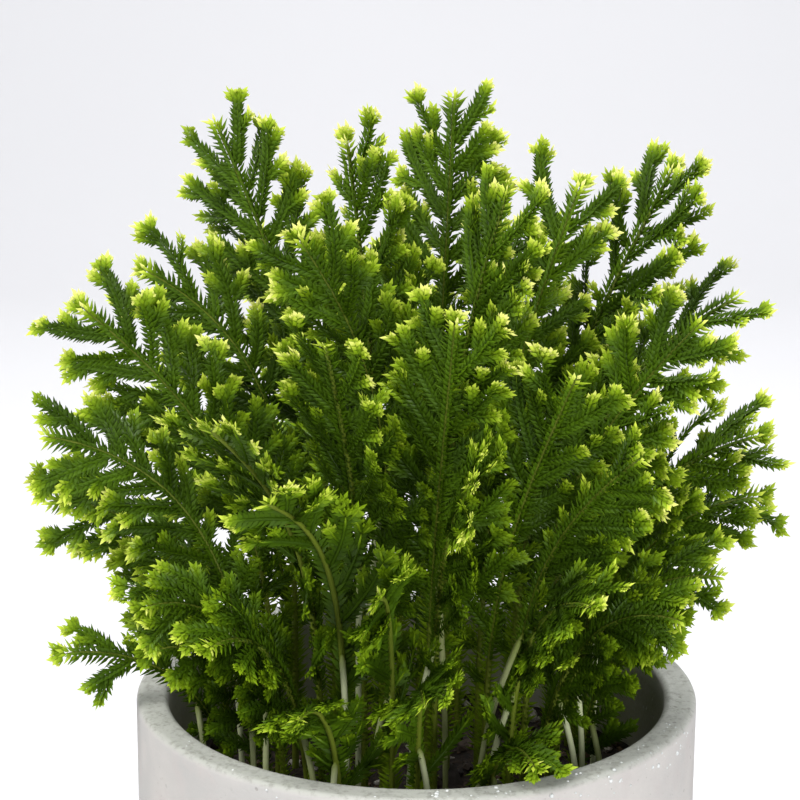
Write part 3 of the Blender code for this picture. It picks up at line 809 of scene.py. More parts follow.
def add_twigs(sheet, limb, room, name, rng):
    """Twigs on alternate sides of a branch's outer part, and a fork at its end."""
    for _, _, kid in list(limb.kids):
        add_twigs(sheet, kid, room, name, rng)
    taken = [(s, side) for s, side, _ in limb.kids]
    if limb.kind == "branch" and limb.length > TWIG_FROM:
        side = rng.choice((1, -1))
        s = (TWIG_START[0] + TWIG_START[1] * rng.random()) * limb.length
        while s < limb.length - TWIG_UNTIL:
            if all(abs(s - at) > TWIG_CLEAR or side != own for at, own in taken):
                length = min(rng.uniform(*TWIG_LENGTH), limb.length - s + TWIG_PAST)
                angle = math.radians(rng.uniform(*TWIG_ANGLES))
                try_limb(sheet, limb, room, name, TWIG_LEAST, s, side, angle, length,
                         TWIG_BEND, rng.normal(0.0, TWIG_TILT), "twig")
            side = -side
            s += rng.uniform(*TWIG_STEP)
    if limb.length > FORK_FROM and rng.random() < FORK_SHARE:
        at = limb.length - FORK_BACK
        lobes = [try_limb(sheet, limb, room, name, LOBE_LEAST, at, side,
                          math.radians(rng.uniform(*LOBE_ANGLES)), rng.uniform(*FORK_LENGTH),
                          0.0, rng.normal(0.0, LOBE_TILT), "twig") for side in (1, -1)]
        if all(lobes):
            limb.length -= LOBES_PASS


for name, (sheet, stem, frond) in enumerate(stems, start=1):
    add_twigs(sheet, stem, room, name, rng)
    for limb in every_limb(stem):
        limb.length -= LEAF_OVERHANG
        limb.twist = 0.0 if limb is stem else rng.normal(0.0, TWIST)
limb_count = sum(len(list(every_limb(stem))) for _, stem, _ in stems)
limb_length = sum(limb.length for _, stem, _ in stems for limb in every_limb(stem))
print("limbs:", limb_count, "with a length of", round(limb_length, 2), "m")

# %% [markdown]
# A limb carries four rows of scale leaves: a broad row to each side, and two rows of small ones
# that lie forward on the upper face like a plait. All leaves of a row are one array of frames:
# a foot, an axis, the direction across and the direction up.

# %% Leaf frames
FRAME_STEP = 0.2 * MM


def frames(sheet, limb, s):
    """Points on a limb and the directions ahead, left and up there, turned by the limb's twist."""
    here = sheet.at(limb.at(s))
    ahead = unit(sheet.at(limb.at(s + FRAME_STEP)) - sheet.at(limb.at(s - FRAME_STEP)))
    beside = sheet.at(limb.at(s, FRAME_STEP)) - sheet.at(limb.at(s, -FRAME_STEP))
    face = unit(np.cross(ahead, beside))
    left = np.cross(face, ahead)
    turned = left * math.cos(limb.twist) + face * math.sin(limb.twist)
    return here, ahead, turned, face * math.cos(limb.twist) - left * math.sin(limb.twist)


def leaf_rows(place, spread, lift, roll, side):
    """Leaves' axis, across and up: ahead turned to the side by spread, up by lift, then rolled."""
    here, ahead, left, face = place
    spread, lift, roll, side = (np.reshape(row, (-1, 1)) for row in (spread, lift, roll, side))
    axis = ahead * np.cos(spread) + left * (side * np.sin(spread))
    axis = unit(axis * np.cos(lift) + face * np.sin(lift))
    up = unit(face - axis * np.sum(face * axis, axis=1, keepdims=True))
    across = np.cross(up, axis)
    turned = up * np.cos(roll) + across * np.sin(roll)
    return here, axis, np.cross(turned, axis), turned


class Leaves:
    """Leaves gathered row by row, each with a size and the numbers that colour it."""

    def __init__(self):
        self.rows = []

    def add(self, leaf, length, width, fresh, odd):
        """Keeps a row of leaves: frames, sizes, freshness at foot and tip, and an odd number."""
        count = len(leaf[0])
        sizes = [np.broadcast_to(value, count) for value in (length, width, *fresh, odd)]
        self.rows.append(np.hstack([*leaf, np.stack(sizes, axis=1)]))

    def table(self):
        """All rows as one table: foot, axis, across, up, length, width, fresh twice and odd."""
        return np.vstack(self.rows)


print("leaf frames ready")

# %% [markdown]
# How the leaves stand along a limb. They are 0.7 mm apart on each side and stand higher and
# lower by turns. Towards the tip they are shorter and lean further forward, and a fan of small
# leaves closes the lobe. Each row has its own middle angles, and every leaf strays a little.

# %% Leaves along a limb
SIDE_STEP = 0.70 * MM
SIDE_LEAF = (3.0 * MM, 0.95 * MM)
SIDE_SPREAD = 50.0
SIDE_FORWARD = 12.0
SIDE_LIFT = 4.0
SIDE_BY_TURNS = 8.0
SIDE_STRAY = 2.5
LEAF_ROLL = 14.0
LEAF_STRAY = 5.0
PLACE_STRAY = 0.08 * MM
NEAR_TIP = 4.0 * MM
PLAIT_STEP = 1.2 * MM
PLAIT_LEAF = (2.3 * MM, 0.95 * MM)
PLAIT_SPREAD = 19.0
PLAIT_LIFT = 21.0
PLAIT_COVER = 0.35 * MM
TUFT_COUNT = 9
TUFT_LEAF = (1.15 * MM, 0.75 * MM)
TUFT_HALF_WIDTH = 1.15 * MM
TUFT_SPREAD = 32.0
TUFT_LIFT = (6.0, 12.0)
TUFT_ROLL = 20.0
TUFT_BACK = 0.9 * MM
TUFT_BULGE = 0.4 * MM
STEM_STEP = 1.3 * MM
STEM_LEAF = (4.2 * MM, 0.85 * MM)
STEM_SPREAD = 54.0
STEM_ROLL = 18.0
STEM_ROWS = ((6.0, 1.0), (38.0, 0.75))
STEM_BARE = (5.0, 8.0)
STEM_TIP = 0.8 * MM
STEM_FRESH = 0.3
FRESH_CURVE = 1.3
TIP_REACH = 5.0 * MM
SIDES = (1.0, -1.0)


def freshness(left_to_go, vigour):
    """How young the growth is: 1 at a vigorous tip, falling to 0 over the last millimetres."""
    return vigour * np.clip(1.0 - left_to_go / TIP_REACH, 0.0, 1.0) ** FRESH_CURVE


def stray(middle, by, s, rng):
    """An angle in radians for each distance s, about a middle one and both given in degrees."""
    return np.radians(middle + rng.normal(0.0, by, len(s)))


def by_turns(count):
    """1 and -1 by turns."""
    return (-1.0) ** np.arange(count)


def row_places(start, end, step, side):
    """Distances along a limb, with the left row's half a step after the right row's."""
    return np.arange(start + 0.5 * step * (side > 0), end, step)


def side_leaves(leaves, sheet, limb, start, after, vigour, odd, rng):
    """The two broad rows of a branch or twig, shorter and turned forward at the tip."""
    for side in SIDES:
        s = row_places(start, limb.length - 0.5 * MM, SIDE_STEP, side)
        if len(s) == 0:
            continue
        s = s + rng.normal(0.0, PLACE_STRAY, len(s))
        near = np.clip(1.0 - (limb.length - s) / NEAR_TIP, 0.0, 1.0)
        spread = stray(SIDE_SPREAD - SIDE_FORWARD * near, SIDE_STRAY, s, rng)
        lift = stray(SIDE_LIFT + SIDE_BY_TURNS * by_turns(len(s)), SIDE_STRAY, s, rng)
        roll = stray(side * LEAF_ROLL, LEAF_STRAY, s, rng)
        length = SIDE_LEAF[0] * (1.0 - 0.5 * near) * rng.uniform(0.9, 1.08, len(s))
        fresh = freshness(limb.length - s + after, vigour)
        leaf = leaf_rows(frames(sheet, limb, s), spread, lift, roll, side)
        leaves.add(leaf, length, SIDE_LEAF[1], (fresh, fresh + 0.12 * vigour), odd)


def plait_leaves(leaves, sheet, limb, start, after, vigour, odd, rng, off=PLAIT_COVER):
    """The two small rows on the upper face, off the axis, which point forward and up."""
    for side in SIDES:
        s = row_places(start, limb.length, PLAIT_STEP, side)
        if len(s) == 0:
            continue
        spread = stray(PLAIT_SPREAD, 4.0, s, rng)
        lift = stray(PLAIT_LIFT, LEAF_STRAY, s, rng)
        roll = stray(-side * LEAF_ROLL, LEAF_STRAY, s, rng)
        here, ahead, left, face = frames(sheet, limb, s)
        here = here + face * off + left * side * 0.4 * off
        leaf = leaf_rows((here, ahead, left, face), spread, lift, roll, side)
        fresh = freshness(limb.length - s + after, vigour)
        leaves.add(leaf, PLAIT_LEAF[0], PLAIT_LEAF[1], (fresh, fresh + 0.15 * vigour), odd)


def tuft(leaves, sheet, limb, vigour, odd, rng):
    """Leaves fanned about the very end of a limb, which close it with a row of points."""
    fan = np.linspace(-1.0, 1.0, TUFT_COUNT)
    s = limb.length - TUFT_BACK + TUFT_BULGE * (1.0 - np.abs(fan))
    spread = stray(TUFT_SPREAD * np.abs(fan), 4.0, s, rng)
    lift = stray(TUFT_LIFT[0] + TUFT_LIFT[1] * by_turns(TUFT_COUNT), LEAF_STRAY, s, rng)
    roll = np.radians(fan * TUFT_ROLL)
    here, ahead, left, face = frames(sheet, limb, s)
    here = here + left * (fan * TUFT_HALF_WIDTH)[:, None]
    leaf = leaf_rows((here, ahead, left, face), spread, lift, roll, np.sign(fan))
    length = TUFT_LEAF[0] * rng.uniform(0.85, 1.15, TUFT_COUNT)
    leaves.add(leaf, length, TUFT_LEAF[1], (vigour * 0.9, vigour * 1.15), odd)


def stem_leaves(leaves, sheet, stem, frond, rng):
    """Narrow leaves on the stem, in four rows that point up and out like a fishbone."""
    for side in SIDES:
        for middle_lift, share in STEM_ROWS:
            first = STEM_DEPTH + rng.uniform(*STEM_BARE) * MM
            s = np.arange(first, stem.length - 1.0 * MM, STEM_STEP) + rng.uniform(0.0, STEM_STEP)
            s = s[s < stem.length - STEM_TIP]
            spread = stray(STEM_SPREAD, LEAF_STRAY, s, rng)
            lift = stray(middle_lift, 6.0, s, rng)
            roll = stray(side * STEM_ROLL, 8.0, s, rng)
            length = STEM_LEAF[0] * share * rng.uniform(0.8, 1.1, len(s))
            fresh = freshness(stem.length - s, 1.0) + STEM_FRESH * (s < stem.length - frond)
            leaf = leaf_rows(frames(sheet, stem, s), spread, lift, roll, side)
            leaves.add(leaf, length, STEM_LEAF[1], (fresh, fresh + 0.15), rng.random())


print("leaf rules ready")

# %% [markdown]
# A hundred thousand leaves can't each be modelled by hand, so one leaf is kept as a small table
# of points and triangles, and numpy sets it on every frame at once. It is a closed shape: a
# pointed outline of four points, with a raised middle above and a flat face below.

# %% Leaf and tube meshes
LEAF_SHAPE = np.array(((0.0, 0.0, 0.0), (0.42, -0.5, 0.0), (1.0, 0.0, -0.02), (0.42, 0.5, 0.0),
                       (0.42, 0.0, 0.055)))
LEAF_FACES = np.array(((4, 0, 1), (4, 1, 2), (4, 2, 3), (4, 3, 0), (0, 3, 1), (1, 3, 2)))
MAP_EDGE = 0.03
MAP_SPAN = 0.92


def leaf_map(count, cells):
    """A square of the map for each leaf: upper faces in one half of it, lower in the other."""
    flat = LEAF_SHAPE[LEAF_FACES]
    lower = ~np.any(LEAF_FACES == len(LEAF_SHAPE) - 1, axis=1)
    u = 0.04 + 0.42 * flat[..., 0] + 0.5 * lower[:, None]
    v = 0.5 + 0.9 * flat[..., 1]
    index = np.arange(count)
    u = (index % cells)[:, None, None] + u[None]
    v = (index // cells)[:, None, None] + v[None]
    return np.stack((u, v), axis=-1).reshape(-1, 2) / cells


def set_leaves(table, cells):
    """Every leaf: foot + axis * along + across * sideways + up * height, scaled by its size."""
    foot, axis, across, up = (table[:, None, i:i + 3] for i in (0, 3, 6, 9))
    length, width, young, tip, odd = (table[:, 12 + i, None] for i in range(5))
    along, beside, high = (LEAF_SHAPE[None, :, i, None] for i in range(3))
    points = (foot + axis * along * length[..., None] + across * beside * width[..., None]
              + up * high * length[..., None])
    fresh = young + (tip - young) * LEAF_SHAPE[None, :, 0]
    faces = (LEAF_FACES + len(LEAF_SHAPE) * np.arange(len(table))[:, None, None]).reshape(-1, 3)
    spare = np.ones_like(fresh)
    return (points.reshape(-1, 3), faces, leaf_map(len(table), cells), fresh.ravel(),
            (odd * spare).ravel(), (0.0 * spare).ravel())


def set_tube(path, beside, radii, sides, numbers, index, cells):
    """A closed tube: rings of the given radii about the path, with its two ends as points."""
    ahead = unit(np.gradient(path, axis=0))
    other = unit(np.cross(ahead, beside))
    side = np.cross(other, ahead)
    turn = 2.0 * math.pi * np.arange(sides) / sides
    circle = (side[1:-1, None] * np.cos(turn)[None, :, None]
              + other[1:-1, None] * np.sin(turn)[None, :, None])
    rings = path[1:-1, None] + radii[1:-1, None, None] * circle
    points = np.vstack((path[:1], rings.reshape(-1, 3), path[-1:]))
    rows, last = len(path) - 2, len(points) - 1
    faces = ring_faces(rows, sides)
    shares = (np.arange(rows) + 1.0) / (rows + 1.0)
    along = np.concatenate(((0.0,), np.repeat(shares, sides), (1.0,)))
    around = np.concatenate(((0.0,), np.tile(np.arange(sides) / sides, rows), (0.0,)))
    u, v = along[faces], around[faces]
    wraps = (v.max(axis=1) - v.min(axis=1) > 0.5)[:, None] & (v < 0.5)
    v = np.where(wraps, v + 1.0, v)
    end = (faces == 0) | (faces == last)
    v = np.where(end, (np.where(end, 0.0, v).sum(axis=1) / 2.0)[:, None], v)
    uv = np.stack((index % cells + MAP_EDGE + MAP_SPAN * u,
                   index // cells + MAP_EDGE + MAP_SPAN * v), axis=-1)
    shape = [np.broadcast_to(value, len(path)) for value in numbers]
    spread = [np.concatenate((row[:1], np.repeat(row[1:-1], sides), row[-1:])) for row in shape]
    return points, faces, uv.reshape(-1, 2) / cells, *spread


def join(parts):
    """One mesh from many: points, faces that count on, map corners and numbers."""
    points, faces, uv, *numbers = zip(*parts)
    starts = np.cumsum([0] + [len(part) for part in points[:-1]])
    faces = [part + start for part, start in zip(faces, starts)]
    stacked = [np.vstack(rows) for rows in (points, faces, uv)]
    return *stacked, *(np.concatenate(row) for row in numbers)


print("triangles of a leaf:", len(LEAF_FACES))

# %% [markdown]
# One finish serves every leaf, stem and stilt root. Numbers kept on the mesh say how fresh a
# point is, which twig it belongs to and whether it is stem or root, so the colour runs from dark
# old green to cream tips without any picture.

# %% Foliage finish
OLD_GREEN = (0.018, 0.042, 0.001)
MID_GREEN = (0.060, 0.122, 0.002)
NEW_GREEN = (0.200, 0.315, 0.006)
PALE_TIP = (0.530, 0.640, 0.065)
CREAM_TIP = (0.800, 0.810, 0.240)
STEM_GREEN = (0.150, 0.180, 0.022)
ROOT_PALE = (0.620, 0.670, 0.420)


def foliage_finish():
    """Satin leaves whose colour follows their freshness, with olive stems and pale roots."""
    finish = Finish("scale_leaves")
    fresh = finish.attribute("fresh")
    odd = finish.attribute("odd")
    kind = finish.attribute("kind")
    patch = finish.noise(14.0 * MM, 2.0)
    fine = finish.noise(0.7 * MM, 2.0)
    young = fresh * 0.9 + (odd - 0.5) * 0.10 + (patch - 0.5) * 0.3 + 0.08
    leaf = finish.ramp(((0.0, OLD_GREEN), (0.22, MID_GREEN), (0.56, NEW_GREEN), (0.8, PALE_TIP),
                        (1.0, CREAM_TIP)), young)
    stem = finish.mix(finish.noise(3.0 * MM) * 0.6, STEM_GREEN, MID_GREEN)
    green = finish.noise(5.0 * MM) * 0.3 + odd.step(0.35, 0.95) * 0.6
    root = finish.mix(green, ROOT_PALE, STEM_GREEN)
    colour = finish.mix(kind.step(0.1, 0.4), leaf, stem)
    colour = finish.mix(kind.step(0.6, 0.9), colour, root)
    roughness = 0.5 + young * 0.16 + (fine - 0.5) * 0.2
    normal = finish.bump(fine, 0.06 * MM, 0.5)
    wet = finish.noise(11.0 * MM, 2.0).step(0.55, 0.7) * 0.4
    return finish.set(Base_Color=colour, Roughness=roughness, Normal=normal,
                      Specular_IOR_Level=0.13, Coat_Weight=wet, Coat_Roughness=0.25)


foliage = foliage_finish()
print("foliage finish:", len(foliage.node_tree.nodes), "nodes")

# %% [markdown]
# Cast concrete is pale and matt, with soft clouds of grey and pink, fine grains and scattered
# air pores, darkened with painted shade. The rim is darker and speckled, partly from dampness and
# partly from painted shade on its top face, and the inner wall is stained by the soil. Soil, bark
# and water have a finish each.

# %% Concrete and soil finishes
WALL_PALE = (0.488, 0.464, 0.438)
WALL_PINK = (0.450, 0.411, 0.394)
WALL_GREY = (0.410, 0.400, 0.385)
RIM_GREY_DAMP_AND_SHADED = (0.415, 0.426, 0.386)
RIM_DARK = (0.235, 0.240, 0.205)
INNER_STAIN = (0.150, 0.155, 0.075)
PORE_PAINTED_SHADE = (0.300, 0.290, 0.270)
SOIL_DARK = (0.010, 0.007, 0.005)
SOIL_BROWN = (0.045, 0.028, 0.016)
BARK = (0.110, 0.065, 0.034)
GRIT = (0.340, 0.320, 0.280)
WATER_PAINTED_RIM_GREY = (0.460, 0.480, 0.470)
WATER_PAINTED_HIGHLIGHT = (0.700, 0.720, 0.710)


def concrete_finish():
    """Clouds over grains, pores in painted shade, a wet rim also darkened by painted shade, and a
    stained inner wall.
    """
    finish = Finish("cast_concrete")
    clouds = finish.noise(30.0 * MM)
    smudges = finish.noise(9.0 * MM, 4.0, 0.6)
    grain = finish.noise(0.9 * MM, 3.0, 0.6)
    sand = finish.cells(1.1 * MM)
    specks = finish.noise(1.5 * MM, 3.0, 0.65)
    porous = finish.noise(12.0 * MM, 2.0).step(0.42, 0.6)
    pricked = finish.noise(7.0 * MM, 2.0).step(0.45, 0.62)
    pores = finish.cells(3.4 * MM).step(0.17, 0.09) * porous
    pinholes = finish.cells(1.5 * MM).step(0.13, 0.07) * pricked
    holes = pores.math("MAXIMUM", pores, pinholes)
    colour = finish.mix(clouds.step(0.35, 0.65), WALL_PALE, WALL_GREY)
    colour = finish.mix(smudges.step(0.48, 0.72) * 0.7, colour, WALL_PINK)
    # the rim's grey is darker partly for its dampness and partly as painted shade on its top face;
    # the specks are wet spots
    damp_and_shaded_rim = finish.mix(specks.step(0.45, 0.68) * 0.75, RIM_GREY_DAMP_AND_SHADED, RIM_DARK)
    colour = finish.mix(finish.attribute("rim") * (0.75 + smudges * 0.4), colour, damp_and_shaded_rim)
    colour = finish.mix(finish.attribute("inside"), colour, INNER_STAIN)
    colour = finish.mix((grain - 0.5) * 0.5 + 0.12, colour, WALL_GREY)
    # painted shade: the colour is darkened in the pores, where shade falls inside the holes
    colour = finish.mix(holes * 0.8, colour, PORE_PAINTED_SHADE)
    roughness = 0.82 + grain * 0.12 - finish.attribute("rim") * 0.18
    height = 0.6 - holes * 0.6 + grain * 0.3 - sand * 0.15
    normal = finish.bump(height, 0.35 * MM, 0.6, finish.bump(smudges, 0.6 * MM, 0.4))
    return finish.set(Base_Color=colour, Roughness=roughness, Normal=normal,
                      Specular_IOR_Level=0.35)


def soil_finish():
    """Damp peat: nearly black with brown crumbs."""
    finish = Finish("potting_soil")
    crumbs = finish.noise(1.6 * MM, 5.0, 0.7)
    colour = finish.mix(crumbs.step(0.42, 0.7), SOIL_DARK, SOIL_BROWN)
    height = crumbs + finish.cells(2.2 * MM) * 0.6
    return finish.set(Base_Color=colour, Roughness=0.85 + crumbs * 0.1,
                      Normal=finish.bump(height, 1.2 * MM, 0.9), Specular_IOR_Level=0.3)


def crumb_finish():
    """Bark, peat and a few pale grains, by a number that each crumb keeps."""
    finish = Finish("bark_and_grit")
    pale = finish.attribute("pale")
    rough = finish.noise(0.8 * MM, 4.0, 0.65)
    colour = finish.ramp(((0.0, SOIL_DARK), (0.5, SOIL_BROWN), (0.9, BARK), (0.97, GRIT)), pale)
    colour = finish.mix(rough.step(0.4, 0.75) * 0.5, colour, SOIL_DARK)
    return finish.set(Base_Color=colour, Roughness=0.8 + rough * 0.15,
                      Normal=finish.bump(rough, 0.3 * MM, 0.8))


def water_finish():
    """Opaque beads whose colour is painted light: grey for the rim seen through the water, pale for
    its highlights.
    """
    finish = Finish("water_bead")
    cloud = finish.noise(0.6 * MM, 1.0)
    # painted reflection and highlight: the grey stands for the rim seen through clear water, the
    # pale for the light it gathers
    return finish.set(Base_Color=finish.mix(cloud, WATER_PAINTED_RIM_GREY, WATER_PAINTED_HIGHLIGHT),
                      Roughness=0.04 + cloud * 0.04)


concrete, soil, crumbs, water = concrete_finish(), soil_finish(), crumb_finish(), water_finish()
print("finishes ready")

# %% [markdown]
# Now each stem is dressed. Its limbs get tubes and leaves, its stilt roots get pale tubes, and
# all of it becomes one mesh that stands for the plain blade of the same stem.

# %% Leafy stems
TUBE_RADII = {"stem": (0.95 * MM, 0.45 * MM), "branch": (0.50 * MM, 0.32 * MM),
              "twig": (0.40 * MM, 0.28 * MM)}
TUBE_SIDES = {"stem": 5, "branch": 4, "twig": 4}
TUBE_STEP = 2.5 * MM
STEM_COVER = 0.6 * MM
STEM_KIND = 0.5
FIRST_LEAF = {"branch": 1.0 * MM, "twig": 0.4 * MM}
FORK_AFTER = 3.2 * MM
ROOT_RADIUS = 0.68 * MM
ROOT_SIDES = 7
ROOT_ROWS = 12
ROOT_END = 0.6 * MM
CLUMP_RADIUS = 82.0 * MM
CLUMP_HEIGHT = 125.0 * MM


def stem_vigour(number):
    """Tall stems end in paler tips than the low ones over the rim."""
    height = TIPS[number - 1][2]
    return float(np.clip(0.68 + 0.32 * (height - 10.0) / 90.0, 0.62, 1.0))


def openness(point):
    """How near the clump's outer face a point is, from 0 deep inside to 1 at the face."""
    across = math.hypot(point[0] / CLUMP_RADIUS, point[1] / CLUMP_RADIUS)
    up = max(point[2] - RIM_TOP, 0.0) / CLUMP_HEIGHT
    return float(smooth_step(math.hypot(across, up), 0.5, 0.95))


def dress_limb(leaves, sheet, limb, vigour, rng):
    """Leaves on a branch or twig, and on all that grows from it."""
    odd = rng.random()
    own = vigour * rng.uniform(0.75, 1.15) * (0.5 + 0.5 * openness(sheet.at(limb.at(limb.length))))
    forked = any(s > limb.length - 0.5 * FORK_BACK for s, _, _ in limb.kids)
    after = FORK_AFTER if forked else 0.0
    start = FIRST_LEAF[limb.kind]
    side_leaves(leaves, sheet, limb, start, after, own, odd, rng)
    plait_leaves(leaves, sheet, limb, start, after, own, odd, rng)
    if not forked:
        tuft(leaves, sheet, limb, own, odd, rng)
    for _, _, kid in limb.kids:
        dress_limb(leaves, sheet, kid, vigour, rng)


def limb_tube(sheet, limb, index, cells):
    """The limb's own tube, thinner towards its tip, with a pointed end."""
    first = 0.0 if limb.kind == "stem" else -0.2 * MM
    rows = max(int(limb.length / TUBE_STEP), 2) + 2
    s = np.linspace(first, limb.length, rows)
    thick, thin = TUBE_RADII[limb.kind]
    radius = thick + (thin - thick) * s / limb.length
    here, _, left, _ = frames(sheet, limb, s)
    numbers = (freshness(limb.length - s, 0.6), 0.5, STEM_KIND if limb.kind == "stem" else 0.0)
    return set_tube(here, left, radius, TUBE_SIDES[limb.kind], numbers, index, cells)


def root_tube(path, index, cells):
    """A stilt root along the smooth curve through the plain tube's points, then straight down."""
    top, middle, low = path[:3]
    t = np.linspace(0.0, 1.0, ROOT_ROWS)[:, None]
    curve = (2 * (t - 0.5) * (t - 1.0) * top - 4 * t * (t - 1.0) * middle
             + 2 * t * (t - 0.5) * low)
    end = path[3] if len(path) > 3 else curve[-1] - UP * ROOT_END
    curve = np.vstack((curve, end))
    beside = np.broadcast_to((1.0, 0.0, 0.0), curve.shape)
    radii = ROOT_RADIUS * np.linspace(1.1, 0.95, len(curve))
    pale = np.clip(0.6 + 0.1 * np.arange(len(curve)), 0.6, 1.0)
    odd = index * 0.618 % 1.0
    return set_tube(curve, beside, radii, ROOT_SIDES, (0.0, odd, pale), index, cells)


def dress_stem(number, rng):
    """One piece for one stem: leaves, tubes and stilt roots as closed shapes in one mesh."""
    sheet, stem, frond = stems[number - 1]
    vigour = stem_vigour(number)
    leaves = Leaves()
    stem_leaves(leaves, sheet, stem, frond, rng)
    plait_leaves(leaves, sheet, stem, stem.length - frond, 0.0, vigour, rng.random(), rng,
                 STEM_COVER)
    for s, _, kid in stem.kids:
        outer = np.clip((s - stem.length + frond) / frond, -0.3, 1.0)
        dress_limb(leaves, sheet, kid, vigour * (0.75 + 0.25 * outer), rng)
    limbs = list(every_limb(stem))
    table = leaves.table()
    index = len(table)
    cells = math.ceil(math.sqrt(index + len(limbs) + len(stilts[number])))
    parts = [set_leaves(table, cells)]
    for limb in limbs:
        parts.append(limb_tube(sheet, limb, index, cells))
        index += 1
    for path in stilts[number]:
        parts.append(root_tube(path, index, cells))
        index += 1
    points, faces, uv, fresh, odd, kind = join(parts)
    add_piece(f"leafy_spray_{number:02d}", points, faces, foliage,
              replaced=(f"leafy_stem_{number:02d}",), uv=uv,
              smooth=np.arange(len(faces)) >= len(table) * len(LEAF_FACES),
              numbers={"fresh": fresh, "odd": odd, "kind": kind})
    return len(faces)


rng = np.random.default_rng(LEAF_SEED)
counts = [dress_stem(number, rng) for number in range(1, len(TIPS) + 1)]
print("triangles of foliage:", sum(counts), "most on one stem:", max(counts))

# %% [markdown]
# The pot was cast in a mould: straight outside, with a softly rounded rim and foot. Its section
# is a line of points that is turned about the axis, and a few slow waves keep it from looking
# machined. The rim and the inner wall are marked on the mesh for the finish.

# %% Pot
RIM_EDGE = 1.6 * MM
FOOT_EDGE = 2.5 * MM
INNER_RADIUS = POT_RADIUS - WALL
POT_COLUMNS = 240
OUTER_ROWS = 52
INNER_ROWS = 30
RIM_ROWS = 8
SIDE_WAVE = 0.12 * MM
RIM_WAVE = 0.1 * MM


def turned_mesh(radius, height, columns):
    """Points (r cos a, r sin a, z) on a grid with a pole at each end, and outward triangles."""
    a = 2.0 * math.pi * np.arange(columns) / columns
    ring = np.stack((radius[1:-1] * np.cos(a), radius[1:-1] * np.sin(a), height[1:-1]), axis=-1)
    poles = [np.array(((0.0, 0.0, z.mean()),)) for z in (height[0], height[-1])]
    return np.vstack((poles[0], ring.reshape(-1, 3), poles[1])), ring_faces(len(ring), columns)


def straight(radius, low, high, rows):
    """A straight upright line of the section, at one radius."""
    return np.stack((np.full(rows, radius), np.linspace(low, high, rows)), axis=1)


def arc(middle_r, middle_z, radius, start, count=7):
    """Points on a quarter circle of the section, from the start angle in degrees."""
    a = np.radians(start + np.linspace(0.0, 90.0, count))
    return np.stack((middle_r + radius * np.cos(a), middle_z + radius * np.sin(a)), axis=1)


def waves(a, z, rng, count=9):
    """Slow waves over the wall: a sum of cosines of the angle and the height."""
    total = 0.0
    for _ in range(count):
        turns, pitch, phase = rng.integers(1, 9), rng.uniform(15.0, 90.0), rng.uniform(0.0, 6.3)
        total = total + np.cos(turns * a + z * pitch + phase) / count
    return total


def make_pot():
    """The section from the middle of the base, up the outside, over the rim and down inside."""
    inner, edge = INNER_RADIUS, POT_HEIGHT - RIM_EDGE
    top_r = np.linspace(POT_RADIUS - RIM_EDGE, inner + RIM_EDGE, RIM_ROWS)[1:-1]
    section = np.vstack((
        ((0.0, 0.0), (0.5 * POT_RADIUS, 0.0), (POT_RADIUS - FOOT_EDGE, 0.0)),
        arc(POT_RADIUS - FOOT_EDGE, FOOT_EDGE, FOOT_EDGE, -90.0)[1:-1],
        straight(POT_RADIUS, FOOT_EDGE, edge, OUTER_ROWS),
        arc(POT_RADIUS - RIM_EDGE, edge, RIM_EDGE, 0.0)[1:],
        np.stack((top_r, np.full(len(top_r), POT_HEIGHT)), axis=1),
        arc(inner + RIM_EDGE, edge, RIM_EDGE, 90.0)[:-1],
        straight(inner, edge, POT_FLOOR, INNER_ROWS),
        ((0.5 * inner, POT_FLOOR), (0.0, POT_FLOOR))))
    a = 2.0 * math.pi * np.arange(POT_COLUMNS) / POT_COLUMNS
    rng = np.random.default_rng(POT_SEED)
    r, z = section[:, :1] + 0.0 * a, section[:, 1:] + 0.0 * a
    free = (section[:, 1] > FOOT_EDGE)[:, None] & (r > inner - MM)
    outer_face = (section[:, 0] > inner + 0.5 * WALL)[:, None]
    r = r - free * np.where(outer_face, 1.0, -1.0) * SIDE_WAVE * (1.0 + waves(a, z, rng)) * 0.8
    on_rim = (section[:, 1] > edge)[:, None]
    z = z - on_rim * RIM_WAVE * (1.0 + waves(a, 40.0 * r, rng))
    points, faces = turned_mesh(r, z, POT_COLUMNS)
    across = np.hypot(points[:, 0], points[:, 1])
    rim = smooth_step(points[:, 2], POT_HEIGHT - 1.3 * MM, POT_HEIGHT - 0.35 * MM)
    within = smooth_step(-across, -inner - 0.3 * MM, -inner + 0.05 * MM)
    stain = within * smooth_step(-points[:, 2], -POT_HEIGHT + 0.5 * MM, -POT_HEIGHT + 7.0 * MM)
    add_piece("concrete_pot", points, faces, concrete, replaced=("pot",),
              numbers={"rim": rim * (1.0 - within), "inside": stain})
    return len(faces)


print("pot triangles:", make_pot())

# %% [markdown]
# The soil fills the pot to 25 mm below its rim. Its top is a grid whose height is the sum of
# many small bumps, and crumbs of bark and a few pale grains lie on it half sunk.

# %% Soil and crumbs
SOIL_COLUMNS = 150
SOIL_ROWS = 56
CRUMBS = 900


def soil_height(x, y, rng, count=420):
    """Height of the soil's top: a gentle slope of waves plus many small round bumps."""
    height = SOIL_TOP + 0.8 * MM * np.sin(x * 210.0 + 1.0) * np.cos(y * 170.0)
    for _ in range(count):
        middle = rng.uniform(-SOIL_RADIUS, SOIL_RADIUS, 2)
        size, lift = rng.uniform(1.2, 3.6) * MM, rng.uniform(-0.5, 1.0) * MM
        height = height + lift * np.exp(-((x - middle[0]) ** 2 + (y - middle[1]) ** 2) / size ** 2)
    return height


